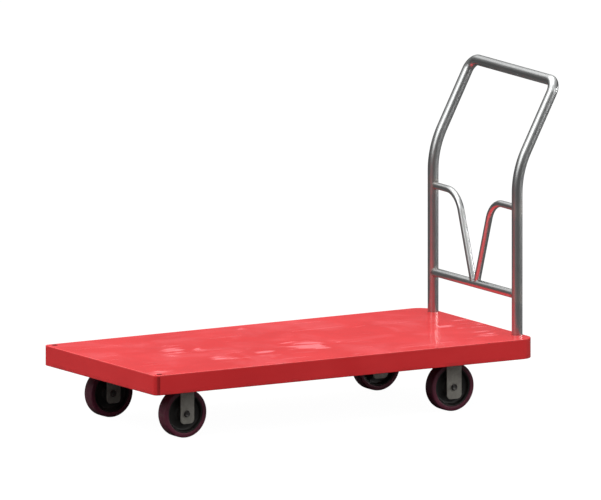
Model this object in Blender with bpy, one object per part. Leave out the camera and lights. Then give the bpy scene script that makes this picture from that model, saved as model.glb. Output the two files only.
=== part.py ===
"""Flatbed platform truck: pressed steel deck, bent-tube push handle, two rigid and two swivel casters.

Metres, +Z up. The origin is on the floor under the middle of the whole truck. +X points to the end
that carries the handle, and -Y is the left-hand side of somebody who pushes the truck.
"""

from math import cos, pi, radians, sin, tan

import bmesh
import bpy
from mathutils import Matrix, Vector

# ---- Driving dimensions ----

GAP = 0.0003                    # clearance between pieces that touch on the real truck

DECK_LENGTH = 1.2184
DECK_WIDTH = 0.597
DECK_TOP = 0.1969               # loading height above the floor
DECK_SHEET = 0.0019
FLANGE_DEPTH = 0.0558           # height of the turned-down sides
FRONT_CORNER_RADIUS = 0.014     # plan radii of the deck's corners
REAR_CORNER_RADIUS = 0.042
EDGE_RADIUS = 0.0017            # rounding of the plate's top edge
LIP_WIDTH = 0.012               # lower edge turned in under the sides
CORNER_HOLE_RADIUS = 0.0075
CORNER_HOLE_FROM_END = 0.0244
CORNER_HOLE_FROM_SIDE = 0.0195

TUBE_RADIUS = 0.015             # handle tube
TUBE_WALL = 0.0016
UPRIGHT_SPACING = 0.449
HANDLE_INSET = 0.0175           # upright's centre line from the deck's rear end
HANDLE_FOOT = 0.150             # height of the tube's lower ends
KNEE_ABOVE_DECK = 0.4541        # where the upright and the leaning length would meet
KNEE_RADIUS = 0.25
LEAN_ANGLE = radians(27.75)
LEAN_LENGTH = 0.270             # from the knee to the top bar's centre line
TOP_CORNER_RADIUS = 0.034

CROSSBAR_RADIUS = 0.0120
CROSSBAR_ABOVE_DECK = 0.1106
BRACE_RADIUS = 0.0095
BRACE_ABOVE_DECK = 0.3521       # where the brace leaves the upright
BRACE_BEND_RADIUS = 0.075
BRACE_ANGLE = radians(19.3)     # of its straight length, from vertical
BRACE_FOOT_OFFSET = 0.0078      # its centre line from the middle, at the crossbar's centre
BRACE_NOTCH_REACH = 0.05        # how far past the brace the cutters for its saddles run

WHEEL_RADIUS = 0.0675
WHEEL_HALF_WIDTH = 0.019
TREAD_BORE = 0.0545
TRACK = 0.3938                  # between the left and right wheels' middles
FRONT_AXLE_FROM_END = 0.1468
WHEELBASE = 0.8547
SWIVEL_TRAIL = 0.040            # kingpin ahead of the axle, towards the handle

FORK_INNER = 0.0200             # leg faces from the wheel's middle
FORK_OUTER = 0.0235
LEG_FRONTS = {"rigid": 0.0190, "swivel": 0.0222}    # leg edges from the axle
LEG_REAR = 0.0243
LEG_BOTTOMS = {"rigid": 0.0281, "swivel": 0.0327}   # below the axle
LEG_CORNER = 0.0120             # rounding of its lower corners
LEG_FLARE_START = 0.0582        # above the axle
LEG_FLARE_RISE = 0.013
RIGID_CROWN_REACH = 0.030       # half length of the rigid fork's crown

PLATE_TOP = 0.170               # height of the casters' mounting faces
PLATE_THICKNESS = 0.004
PLATE_LENGTH = 0.105
PLATE_WIDTH = 0.087
PLATE_BOLTS_X = 0.080
PLATE_BOLTS_Y = 0.062
SWIVEL_CROWN_TOP = 0.142
SWIVEL_CROWN_BEYOND_PIN = 0.020
RACE_TOP = 0.157                # top of the swivel fork's pressed race
RACE_RADIUS = 0.0275
RACE_CHAMFER = 0.0020
RACE_ROOF = 0.0070              # metal above the recess for the kingpin's nut
RACE_RECESS_RADIUS = 0.0190
BALL_RING_RADIUS = 0.021
BALL_COUNT = 8
CAGE_HALF_WIDTH = 0.0022
CAGE_HALF_HEIGHT = 0.0010
CUP_INNER = 0.0287              # guard ring under the swivel caster's plate
CUP_OUTER = 0.0312
CUP_DEPTH = 0.0190              # below the plate's top
PIN_RADIUS = 0.0060             # kingpin
PIN_HEAD_RADIUS = 0.0122
PIN_LENGTH = 0.0310
PIN_NUT_RADIUS = 0.0110
PIN_NUT_HEIGHT = 0.0090
PIN_NUT_BOTTOM = 0.0295         # below the plate's top

AXLE_BOLT_RADIUS = 0.0050
SLEEVE_RADIUS = 0.0079
BEARING_BORE = 0.0082
BEARING_RADIUS = 0.0106
BEARING_HALF_LENGTH = 0.0175
HUB_BORE = 0.0110
HUB_HALF_LENGTH = 0.0180
HUB_BOSS_RADIUS = 0.0170
HUB_RIM_INNER = 0.0480
HUB_RIM_HALF_WIDTH = 0.0165
HUB_WEB_HALF = 0.0050
AXLE_HEX_RADIUS = 0.0087        # across corners / 2
AXLE_FLANGE_RADIUS = 0.0122
AXLE_HEAD_HEIGHT = 0.0038
AXLE_NUT_HEIGHT = 0.0080
AXLE_BOLT_BEYOND_FORK = 0.0095
HEX_FLANGE_HEIGHT = 0.0014      # of every flanged bolt and nut
HEX_CHAMFER = 0.0008

CHANNEL_SHEET = 0.0025
CHANNEL_WEB = 0.120
CHANNEL_LIP = 0.018
STIFFENER_WEB = 0.045
STIFFENER_DROP = 0.0215
STIFFENER_OFFSET = 0.150        # from the truck's middle line
STIFFENER_END_GAP = 0.002       # to the channels' lips

MOUNT_BOLT_RADIUS = 0.0040
HANDLE_BOLT_RADIUS = 0.0040
HANDLE_BOLT_LENGTH = 0.043
HANDLE_HEX_RADIUS = 0.0072
HANDLE_HEAD_HEIGHT = 0.0048
HANDLE_FLANGE_RADIUS = 0.0085
HANDLE_NUT_HEIGHT = 0.0065
HANDLE_BOLT_HEIGHTS = {"lower": 0.158, "upper": 0.182}

# ---- Worked out from them ----

LEAN_REACH = LEAN_LENGTH * sin(LEAN_ANGLE)
OVERALL_LENGTH = DECK_LENGTH - HANDLE_INSET + LEAN_REACH + TUBE_RADIUS
DECK_FRONT = -OVERALL_LENGTH / 2
DECK_REAR = DECK_FRONT + DECK_LENGTH
DECK_UNDERSIDE = DECK_TOP - DECK_SHEET
FLANGE_BOTTOM = DECK_TOP - FLANGE_DEPTH
HANDLE_X = DECK_REAR - HANDLE_INSET
HALF_SPACING = UPRIGHT_SPACING / 2
CROSSBAR_Z = DECK_TOP + CROSSBAR_ABOVE_DECK
BRACE_Z = DECK_TOP + BRACE_ABOVE_DECK
AXLE_HEIGHT = WHEEL_RADIUS
FRONT_AXLE_X = DECK_FRONT + FRONT_AXLE_FROM_END
REAR_AXLE_X = FRONT_AXLE_X + WHEELBASE
KINGPIN_X = REAR_AXLE_X + SWIVEL_TRAIL
PLATE_BOTTOM = PLATE_TOP - PLATE_THICKNESS
HALF_WIDTH = DECK_WIDTH / 2
STRAP = FORK_OUTER - FORK_INNER
SIDES = (("left", -1), ("right", 1))


# ---- Materials ----

def make_material(name, colour, metallic, roughness):
    material = bpy.data.materials.new(name)
    material.use_nodes = True
    shader = material.node_tree.nodes["Principled BSDF"]
    shader.inputs["Base Color"].default_value = (*colour, 1.0)
    shader.inputs["Metallic"].default_value = metallic
    shader.inputs["Roughness"].default_value = roughness
    material.diffuse_color = (*colour, 1.0)
    return material


LOOKS = {
    "deck_paint": ((0.78, 0.09, 0.10), 0.0, 0.25),
    "frame_paint": ((0.42, 0.04, 0.05), 0.0, 0.45),
    "handle_steel": ((0.48, 0.47, 0.46), 1.0, 0.30),
    "zinc_steel": ((0.36, 0.35, 0.33), 1.0, 0.42),
    "bolt_steel": ((0.30, 0.30, 0.31), 1.0, 0.38),
    "tread_rubber": ((0.09, 0.028, 0.035), 0.0, 0.55),
    "hub_plastic": ((0.018, 0.017, 0.018), 0.0, 0.48),
    "bearing_steel": ((0.55, 0.55, 0.56), 1.0, 0.25),
}


def add_object(name, mesh, look, location=(0, 0, 0), parent=None):
    """A named piece with its own material; location is in world space."""
    colour, metallic, roughness = LOOKS[look]
    own_mesh = mesh.copy()
    own_mesh.name = name
    own_mesh.materials.clear()
    own_mesh.materials.append(make_material(name + "_" + look, colour, metallic, roughness))
    piece = bpy.data.objects.new(name, own_mesh)
    bpy.context.scene.collection.objects.link(piece)
    piece.parent = parent
    piece.location = Vector(location) - (parent.matrix_world.translation if parent else Vector())
    return piece


def add_empty(name, location, parent=None):
    """An axis marker that moving pieces hang from."""
    marker = bpy.data.objects.new(name, None)
    marker.empty_display_size = 0.03
    bpy.context.scene.collection.objects.link(marker)
    marker.parent = parent
    marker.location = Vector(location) - (parent.matrix_world.translation if parent else Vector())
    bpy.context.view_layer.update()
    return marker


# ---- Mesh building ----

def loft(rings, closed=False):
    """Skin a list of equal-length rings; the ends are capped, or joined to each other when closed."""
    shape = bmesh.new()
    loops = [[shape.verts.new(point) for point in ring] for ring in rings]
    count = len(rings[0])
    pairs = list(zip(loops, loops[1:]))
    if closed:
        pairs.append((loops[-1], loops[0]))
    for lower, upper in pairs:
        for k in range(count):
            after = (k + 1) % count
            shape.faces.new((lower[k], lower[after], upper[after], upper[k]))
    if not closed:
        shape.faces.new(loops[0])
        shape.faces.new(loops[-1])
    return finish_mesh(shape)


def finish_mesh(shape):
    bmesh.ops.recalc_face_normals(shape, faces=shape.faces)
    mesh = bpy.data.meshes.new("piece")
    shape.to_mesh(mesh)
    shape.free()
    mesh.shade_smooth()
    mesh.set_sharp_from_angle(angle=radians(35))
    return mesh


def circle(radius, z, segments, hexagon=False):
    """A ring about Z; a hexagon keeps its corners on radius and its flats between them."""
    ring = []
    for k in range(segments):
        angle = 2 * pi * k / segments
        reach = radius * (cos(pi / 6) if hexagon and k % 2 else 1.0)
        ring.append(Vector((reach * cos(angle), reach * sin(angle), z)))
    return ring


def lathe(profile, segments, closed=False):
    """Turn (radius, z) points about Z."""
    return loft([circle(radius, z, segments) for radius, z in profile], closed)


def rod(radius, low, high, segments):
    """A plain cylinder about Z."""
    return lathe(((radius, low), (radius, high)), segments)


def washer(inner, outer, low, high, segments):
    return lathe(((inner, low), (outer, low), (outer, high), (inner, high)), segments, closed=True)


def turned(mesh, matrix):
    """The same mesh in another direction."""
    mesh.transform(matrix)
    return mesh


def joined(meshes):
    """Several separate solids as one mesh."""
    shape = bmesh.new()
    for mesh in meshes:
        shape.from_mesh(mesh)
    return finish_mesh(shape)


def moved(mesh, offset):
    copy = mesh.copy()
    copy.transform(Matrix.Translation(offset))
    return copy


def prism(outline, depth_from, depth_to):
    """Extrude an (x, z) outline along Y."""
    return loft([[Vector((x, y, z)) for x, z in outline] for y in (depth_from, depth_to)])


def slab(outline, low, high):
    """Extrude an (x, y) outline along Z."""
    return loft([[Vector((x, y, z)) for x, y in outline] for z in (low, high)])


def box(low, high):
    outline = ((low[0], low[1]), (high[0], low[1]), (high[0], high[1]), (low[0], high[1]))
    return slab(outline, low[2], high[2])


def rounded_rectangle(length, width, radius, steps):
    """Outline centred on the origin, with arcs at its corners."""
    points = []
    centres = ((1, 1, 0), (-1, 1, 1), (-1, -1, 2), (1, -1, 3))
    for side_x, side_y, quarter in centres:
        centre_x = side_x * (length / 2 - radius)
        centre_y = side_y * (width / 2 - radius)
        for k in range(steps + 1):
            angle = pi / 2 * (quarter + k / steps)
            points.append((centre_x + radius * cos(angle), centre_y + radius * sin(angle)))
    return points


def combine(base, others, operation):
    """Apply exact Boolean operations, one operand at a time, and return the new mesh."""
    helper = bpy.data.objects.new("boolean_base", base)
    bpy.context.scene.collection.objects.link(helper)
    operands = []
    for number, other in enumerate(others):
        operand = bpy.data.objects.new("boolean_operand_" + str(number), other)
        bpy.context.scene.collection.objects.link(operand)
        operand.hide_render = True
        operand.display_type = "WIRE"
        modifier = helper.modifiers.new("combine", "BOOLEAN")
        modifier.operation = operation
        modifier.solver = "EXACT"
        modifier.object = operand
        operands.append(operand)
    bpy.context.view_layer.update()
    result = bpy.data.meshes.new_from_object(helper.evaluated_get(bpy.context.evaluated_depsgraph_get()))
    for piece in [helper] + operands:
        bpy.data.objects.remove(piece)
    shape = bmesh.new()
    shape.from_mesh(result)
    return finish_mesh(shape)


def sweep(path, radius, sides, bore=None):
    """A round tube, hollow when it has a bore, along a path of points."""
    tangents = []
    for k in range(len(path)):
        before = path[max(k - 1, 0)]
        after = path[min(k + 1, len(path) - 1)]
        tangents.append((after - before).normalized())
    normal = Vector((1, 0, 0)) if abs(tangents[0].x) < 0.5 else Vector((0, 0, 1))
    outer_rings = []
    inner_rings = []
    for k, (point, tangent) in enumerate(zip(path, tangents)):
        if k:
            normal.rotate(tangents[k - 1].rotation_difference(tangent))
        normal = (normal - tangent * normal.dot(tangent)).normalized()
        across = tangent.cross(normal)
        directions = [normal * cos(2 * pi * n / sides) + across * sin(2 * pi * n / sides)
                      for n in range(sides)]
        outer_rings.append([point + radius * direction for direction in directions])
        if bore:
            inner_rings.append([point + bore * direction for direction in directions])
    return loft(outer_rings + inner_rings[::-1], closed=bool(bore))


def bolt(head_radius, head_height, flange_radius, flange_height, shank_radius, length):
    """A hexagon bolt along Z: the head above z = 0, the shank below it."""
    seat = flange_radius if flange_height else head_radius
    top = head_height + flange_height
    rings = [circle(head_radius - HEX_CHAMFER, top, 12),
             circle(head_radius, top - HEX_CHAMFER, 12, hexagon=True),
             circle(head_radius, flange_height, 12, hexagon=True)]
    if flange_height:
        rings += [circle(seat, flange_height, 12), circle(seat, 0, 12)]
    rings += [circle(shank_radius, 0 if flange_height else flange_height, 12),
              circle(shank_radius, -length, 12)]
    return loft(rings)


def nut(hex_radius, height, bore, flange_radius=0.0, flange_height=0.0):
    """A hexagon nut along Z, standing on z = 0."""
    rings = [circle(bore, 0, 12)]
    if flange_height:
        rings += [circle(flange_radius, 0, 12), circle(flange_radius, flange_height, 12)]
    rings += [circle(hex_radius, flange_height, 12, hexagon=True),
              circle(hex_radius, height, 12, hexagon=True),
              circle(bore, height, 12)]
    return loft(rings, closed=True)


def ball(radius, centre, segments=6, bands=4):
    """A small steel ball."""
    shape = bmesh.new()
    bmesh.ops.create_uvsphere(shape, u_segments=segments, v_segments=bands, radius=radius,
                              matrix=Matrix.Translation(centre))
    return finish_mesh(shape)


ALONG_X = Matrix.Rotation(pi / 2, 4, "Y")       # Z becomes +X
ALONG_MINUS_Y = Matrix.Rotation(pi / 2, 4, "X")  # Z becomes -Y


# ---- Deck ----

def deck_corner(end, side, inset):
    """Arc of the deck's outline at one corner, from its side edge to its end edge."""
    steps = 6
    radius = FRONT_CORNER_RADIUS if end < 0 else REAR_CORNER_RADIUS
    centre_x = (DECK_FRONT if end < 0 else DECK_REAR) - end * radius
    centre_y = side * (HALF_WIDTH - radius)
    points = []
    for k in range(steps + 1):
        angle = pi / 2 * k / steps
        points.append((centre_x + end * (radius - inset) * sin(angle),
                       centre_y + side * (radius - inset) * cos(angle)))
    return points


def end_outline(end, inset):
    """One end of the deck's outline with both its corners, from the right side to the left."""
    return deck_corner(end, 1, inset) + deck_corner(end, -1, inset)[::-1]


def deck_plate():
    """The flat top sheet with its rounded upper edge, its corner holes and the handle's holes."""
    bend_steps = 3
    rings = [(0.0, DECK_UNDERSIDE)]
    for k in range(bend_steps + 1):
        angle = pi / 2 * k / bend_steps
        rings.append((EDGE_RADIUS * (1 - cos(angle)), DECK_TOP - EDGE_RADIUS * (1 - sin(angle))))
    plate = loft([[Vector((x, y, z)) for x, y in end_outline(-1, inset) + end_outline(1, inset)[::-1]]
                  for inset, z in rings])
    holes = []
    for name, side in SIDES:
        corner = (DECK_FRONT + CORNER_HOLE_FROM_END, side * (HALF_WIDTH - CORNER_HOLE_FROM_SIDE), DECK_TOP)
        holes.append(moved(rod(CORNER_HOLE_RADIUS, -0.01, 0.01, 16), corner))
        foot = (HANDLE_X, side * HALF_SPACING, DECK_TOP)
        holes.append(moved(rod(TUBE_RADIUS + GAP, -0.01, 0.01, 16), foot))
    return combine(plate, [joined(holes)], "DIFFERENCE")


def flange_section():
    """(inset, z) outline of a turned-down edge with its lip."""
    top = DECK_UNDERSIDE - GAP
    lip_top = FLANGE_BOTTOM + DECK_SHEET
    return [(0.0, top), (0.0, FLANGE_BOTTOM), (LIP_WIDTH, FLANGE_BOTTOM), (LIP_WIDTH, lip_top),
            (DECK_SHEET, lip_top), (DECK_SHEET, top)]


def end_flange(end):
    """The flange across one end of the deck, carried round both corners."""
    outlines = [(end_outline(end, inset), z) for inset, z in flange_section()]
    return loft([[Vector((*outline[k], z)) for outline, z in outlines]
                 for k in range(len(outlines[0][0]))])


def side_flange(side):
    """The straight flange between the corners."""
    ends = (DECK_FRONT + FRONT_CORNER_RADIUS + GAP, DECK_REAR - REAR_CORNER_RADIUS - GAP)
    return loft([[Vector((x, side * (HALF_WIDTH - inset), z)) for inset, z in flange_section()]
                 for x in ends])


def handle_bolt_cutters(side):
    """Clearance for the bolts that tie one upright to the rear flange."""
    cutters = []
    for height in HANDLE_BOLT_HEIGHTS.values():
        hole = turned(rod(HANDLE_BOLT_RADIUS + GAP, -0.045, 0.01, 12), ALONG_X)
        cutters.append(moved(hole, (DECK_REAR, side * HALF_SPACING, height)))
    return cutters


def hat_section(web, drop, lip, sheet):
    """Outline of a hat channel hanging from z = 0: lips at the top, web at the bottom."""
    half = web / 2
    right = [(half + lip, 0.0), (half + lip, -sheet), (half, -sheet), (half, -drop), (-half, -drop),
             (-half, -sheet), (-half - lip, -sheet), (-half - lip, 0.0)]
    inside = [(-half + sheet, 0.0), (-half + sheet, -drop + sheet), (half - sheet, -drop + sheet),
              (half - sheet, 0.0)]
    return right + inside


def cross_channel(centre_x):
    """A channel across the deck that carries two casters, with holes for their bolts."""
    drop = DECK_UNDERSIDE - GAP - PLATE_TOP - GAP
    outline = [(centre_x + x, DECK_UNDERSIDE - GAP + z)
               for x, z in hat_section(CHANNEL_WEB, drop, CHANNEL_LIP, CHANNEL_SHEET)]
    reach = HALF_WIDTH - DECK_SHEET - 4 * GAP
    holes = []
    for x, y in plate_bolt_places(centre_x):
        holes.append(moved(rod(MOUNT_BOLT_RADIUS + GAP, -0.01, 0.01, 8), (x, y, PLATE_TOP)))
    return combine(prism(outline, -reach, reach), [joined(holes)], "DIFFERENCE")


def stiffener(side):
    """A long rib between the two cross channels."""
    half_channel = CHANNEL_WEB / 2 + CHANNEL_LIP + STIFFENER_END_GAP
    outline = [(side * STIFFENER_OFFSET + y, DECK_UNDERSIDE - GAP + z)
               for y, z in hat_section(STIFFENER_WEB, STIFFENER_DROP, CHANNEL_LIP, DECK_SHEET)]
    ends = (FRONT_AXLE_X + half_channel, KINGPIN_X - half_channel)
    return loft([[Vector((x, y, z)) for y, z in outline] for x in ends])


def plate_bolt_places(centre_x):
    """Plan positions of the eight bolts under one cross channel."""
    places = []
    for name, side in SIDES:
        for step_x in (-0.5, 0.5):
            for step_y in (-0.5, 0.5):
                places.append((centre_x + step_x * PLATE_BOLTS_X, side * TRACK / 2 + step_y * PLATE_BOLTS_Y))
    return places


def build_deck():
    bolt_holes = joined(handle_bolt_cutters(-1) + handle_bolt_cutters(1))
    add_object("deck_plate", deck_plate(), "deck_paint")
    add_object("deck_flange_front", end_flange(-1), "deck_paint")
    add_object("deck_flange_rear", combine(end_flange(1), [bolt_holes], "DIFFERENCE"), "deck_paint")
    for name, side in SIDES:
        add_object("deck_flange_" + name, side_flange(side), "deck_paint")
    add_object("cross_channel_front", cross_channel(FRONT_AXLE_X), "frame_paint")
    add_object("cross_channel_rear", cross_channel(KINGPIN_X), "frame_paint")
    for name, side in SIDES:
        add_object("stiffener_" + name, stiffener(side), "frame_paint")


# ---- Handle ----

def handle_path():
    """Centre line of the bent tube: up from the left foot, over the top bar, down to the right foot."""
    arc_steps = 5
    rise = KNEE_RADIUS * tan(LEAN_ANGLE / 2)
    knee = Vector((HANDLE_X, 0, DECK_TOP + KNEE_ABOVE_DECK))
    lean = Vector((sin(LEAN_ANGLE), 0, cos(LEAN_ANGLE)))
    one_side = [(Vector((HANDLE_X, 0, HANDLE_FOOT)), HALF_SPACING)]
    for k in range(arc_steps + 1):
        angle = LEAN_ANGLE * k / arc_steps
        point = Vector((HANDLE_X + KNEE_RADIUS * (1 - cos(angle)), 0, knee.z - rise + KNEE_RADIUS * sin(angle)))
        one_side.append((point, HALF_SPACING))
    for k in range(arc_steps + 1):
        angle = pi / 2 * k / arc_steps
        along = LEAN_LENGTH - TOP_CORNER_RADIUS * (1 - sin(angle))
        one_side.append((knee + along * lean, HALF_SPACING - TOP_CORNER_RADIUS * (1 - cos(angle))))
    left = [point - Vector((0, offset, 0)) for point, offset in one_side]
    right = [point + Vector((0, offset, 0)) for point, offset in one_side]
    return left + right[::-1]


def brace_path(side):
    """Centre line of one brace: in from the upright, round its bend and down to the crossbar."""
    arc_steps = 6
    turn = pi / 2 - BRACE_ANGLE
    foot = Vector((HANDLE_X, BRACE_FOOT_OFFSET, CROSSBAR_Z))
    corner = foot + Vector((0, tan(BRACE_ANGLE), 1)) * (BRACE_Z - CROSSBAR_Z)
    centre = corner + Vector((0, BRACE_BEND_RADIUS * tan(turn / 2), -BRACE_BEND_RADIUS))
    path = [Vector((HANDLE_X, HALF_SPACING, BRACE_Z))]
    for k in range(arc_steps + 1):
        angle = turn * k / arc_steps
        path.append(centre + BRACE_BEND_RADIUS * Vector((0, -sin(angle), cos(angle))))
    path.append(foot)
    return [Vector((point.x, side * point.y, point.z)) for point in path]


def upright_cutter(side):
    """The space that an upright fills, with the usual clearance."""
    space = rod(TUBE_RADIUS + GAP, HANDLE_FOOT, BRACE_Z + BRACE_NOTCH_REACH, 24)
    return moved(space, (HANDLE_X, side * HALF_SPACING, 0))


def crossbar_cutter():
    """The space that the crossbar fills where the braces stand on it."""
    space = rod(CROSSBAR_RADIUS + GAP, -BRACE_NOTCH_REACH, BRACE_NOTCH_REACH, 24)
    return moved(turned(space, ALONG_MINUS_Y), (HANDLE_X, 0, CROSSBAR_Z))


def build_handle():
    tube = sweep(handle_path(), TUBE_RADIUS, 12, bore=TUBE_RADIUS - TUBE_WALL)
    bolt_holes = joined(handle_bolt_cutters(-1) + handle_bolt_cutters(1))
    add_object("handle_tube", combine(tube, [bolt_holes], "DIFFERENCE"), "handle_steel")

    ends = [Vector((HANDLE_X, side * HALF_SPACING, CROSSBAR_Z)) for name, side in SIDES]
    crossbar = sweep(ends, CROSSBAR_RADIUS, 12, bore=CROSSBAR_RADIUS - TUBE_WALL)
    cutters = [upright_cutter(side) for name, side in SIDES]
    add_object("handle_crossbar", combine(crossbar, cutters, "DIFFERENCE"), "handle_steel")

    for name, side in SIDES:
        brace = sweep(brace_path(side), BRACE_RADIUS, 10, bore=BRACE_RADIUS - TUBE_WALL)
        brace = combine(brace, [upright_cutter(side), crossbar_cutter()], "DIFFERENCE")
        add_object("handle_brace_" + name, brace, "handle_steel")


def build_handle_fixings():
    """Two flanged bolts for each upright, with their heads on the deck's rear flange."""
    nut_end = HANDLE_X - TUBE_RADIUS - GAP - HANDLE_NUT_HEIGHT
    for name, side in SIDES:
        for level, height in HANDLE_BOLT_HEIGHTS.items():
            screw = bolt(HANDLE_HEX_RADIUS, HANDLE_HEAD_HEIGHT, HANDLE_FLANGE_RADIUS, HEX_FLANGE_HEIGHT,
                         HANDLE_BOLT_RADIUS, HANDLE_BOLT_LENGTH)
            seat = (DECK_REAR + GAP, side * HALF_SPACING, height)
            add_object("handle_bolt_" + name + "_" + level, turned(screw, ALONG_X), "bolt_steel", seat)
            lock_nut = nut(HANDLE_HEX_RADIUS, HANDLE_NUT_HEIGHT, HANDLE_BOLT_RADIUS + GAP)
            behind_tube = (nut_end, side * HALF_SPACING, height)
            add_object("handle_nut_" + name + "_" + level, turned(lock_nut, ALONG_X), "bolt_steel", behind_tube)


# ---- Casters; local frame: origin on the axle at the wheel's middle ----

def leg_outline(kind, flare_front, flare_rear, top):
    """Side view of a fork leg: a plain strap with rounded lower corners that widens to its crown."""
    front = -LEG_FRONTS[kind]
    bottom = -LEG_BOTTOMS[kind]
    cut = LEG_CORNER
    near = cut * (1 - cos(pi / 4))
    flare_end = LEG_FLARE_START + LEG_FLARE_RISE
    return [(front, bottom + cut), (front + near, bottom + near), (front + cut, bottom),
            (LEG_REAR - cut, bottom), (LEG_REAR - near, bottom + near), (LEG_REAR, bottom + cut),
            (LEG_REAR, LEG_FLARE_START), (flare_rear, flare_end), (flare_rear, top),
            (-flare_front, top), (-flare_front, flare_end), (front, LEG_FLARE_START)]


def fork_legs(outline):
    return [prism(outline, -FORK_OUTER, -FORK_INNER), prism(outline, FORK_INNER, FORK_OUTER)]


def axle_hole():
    return turned(rod(AXLE_BOLT_RADIUS + GAP, -0.03, 0.03, 12), ALONG_MINUS_Y)


def rigid_fork():
    """An upside-down U that is welded under its top plate."""
    top = PLATE_BOTTOM - GAP - AXLE_HEIGHT
    reach = RIGID_CROWN_REACH
    crown = box((-reach, -FORK_OUTER, top - STRAP), (reach, FORK_OUTER, top))
    legs = fork_legs(leg_outline("rigid", reach, reach, top))
    return combine(combine(crown, legs, "UNION"), [axle_hole()], "DIFFERENCE")


def swivel_fork():
    """A fork whose crown reaches forward to the kingpin and carries a pressed ball race."""
    crown_top = SWIVEL_CROWN_TOP - AXLE_HEIGHT
    crown_low = crown_top - STRAP
    race_top = RACE_TOP - AXLE_HEIGHT
    crown_reach = SWIVEL_TRAIL + SWIVEL_CROWN_BEYOND_PIN
    pin_line = (SWIVEL_TRAIL, 0, 0)
    front = LEG_FRONTS["swivel"]
    crown = box((-front, -FORK_OUTER, crown_low), (crown_reach, FORK_OUTER, crown_top))
    legs = fork_legs(leg_outline("swivel", front, crown_reach, crown_top))
    race = lathe(((RACE_RADIUS, crown_low + GAP), (RACE_RADIUS, race_top - RACE_CHAMFER),
                  (RACE_RADIUS - RACE_CHAMFER, race_top)), 20)
    recess = rod(RACE_RECESS_RADIUS, crown_low - 0.002, race_top - RACE_ROOF, 16)
    pin_hole = rod(PIN_RADIUS + 2 * GAP, crown_low, race_top + 0.002, 12)
    solid = combine(crown, legs + [moved(race, pin_line)], "UNION")
    cutters = [moved(recess, pin_line), moved(pin_hole, pin_line), axle_hole()]
    return combine(solid, cutters, "DIFFERENCE")


def top_plate(holes=()):
    """Mounting plate with four bolt holes and any others given; z = 0 is its top."""
    cutters = list(holes)
    for step_x in (-0.5, 0.5):
        for step_y in (-0.5, 0.5):
            place = (step_x * PLATE_BOLTS_X, step_y * PLATE_BOLTS_Y, 0)
            cutters.append(moved(rod(MOUNT_BOLT_RADIUS + GAP, -0.01, 0.01, 8), place))
    plate = slab(rounded_rectangle(PLATE_LENGTH, PLATE_WIDTH, 0.008, steps=2), -PLATE_THICKNESS, 0)
    return combine(plate, [joined(cutters)], "DIFFERENCE")


def swivel_top_plate():
    """A top plate with a countersunk kingpin hole and the guard ring welded under it."""
    beyond = 0.001
    bottom_radius = PIN_RADIUS + 2 * GAP
    top_radius = PIN_HEAD_RADIUS + 2 * GAP
    slope = (top_radius - bottom_radius) / PLATE_THICKNESS
    countersink = lathe(((bottom_radius - slope * beyond, -PLATE_THICKNESS - beyond),
                         (top_radius + slope * beyond, beyond)), 12)
    guard_ring = washer(CUP_INNER, CUP_OUTER, -CUP_DEPTH, -PLATE_THICKNESS / 2, 20)
    return combine(top_plate([countersink]), [guard_ring], "UNION")


def kingpin():
    """Countersunk pin, flush with the plate, down to its nut; z = 0 is the plate's top."""
    slope = (PIN_HEAD_RADIUS - PIN_RADIUS) / PLATE_THICKNESS
    return lathe(((PIN_HEAD_RADIUS - slope * GAP, -GAP), (PIN_RADIUS, -PLATE_THICKNESS),
                  (PIN_RADIUS, -PIN_LENGTH)), 12)


def ball_bearing():
    """The caged balls between the fork's race and the plate; z = 0 is the plate's top."""
    low = RACE_TOP - PLATE_TOP + GAP
    high = -PLATE_THICKNESS - GAP
    middle = (low + high) / 2
    cage = washer(BALL_RING_RADIUS - CAGE_HALF_WIDTH, BALL_RING_RADIUS + CAGE_HALF_WIDTH,
                  middle - CAGE_HALF_HEIGHT, middle + CAGE_HALF_HEIGHT, 20)
    balls = []
    for k in range(BALL_COUNT):
        angle = 2 * pi * k / BALL_COUNT
        centre = Vector((BALL_RING_RADIUS * cos(angle), BALL_RING_RADIUS * sin(angle), middle))
        balls.append(ball((high - low) / 2, centre))
    return combine(cage, [joined(balls)], "UNION")


def tread():
    """The ring of soft tread with eased edges."""
    edge = 0.0033
    profile = []
    for side in (-1, 1):
        points = [(TREAD_BORE, side * (WHEEL_HALF_WIDTH - 0.0006)),
                  (WHEEL_RADIUS - edge, side * WHEEL_HALF_WIDTH),
                  (WHEEL_RADIUS, side * (WHEEL_HALF_WIDTH - edge))]
        profile += points if side < 0 else points[::-1]
    return turned(lathe(profile, 36, closed=True), ALONG_MINUS_Y)


def hub():
    """Moulded wheel centre: a rim, a thin web and a long boss."""
    draft = 0.0010
    half = [(TREAD_BORE - GAP, HUB_RIM_HALF_WIDTH), (HUB_RIM_INNER, HUB_RIM_HALF_WIDTH),
            (HUB_RIM_INNER - draft, HUB_WEB_HALF), (HUB_BOSS_RADIUS + 2 * draft, HUB_WEB_HALF),
            (HUB_BOSS_RADIUS, HUB_HALF_LENGTH), (HUB_BORE, HUB_HALF_LENGTH)]
    profile = half + [(radius, -z) for radius, z in reversed(half)]
    return turned(lathe(profile, 24, closed=True), ALONG_MINUS_Y)


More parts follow.
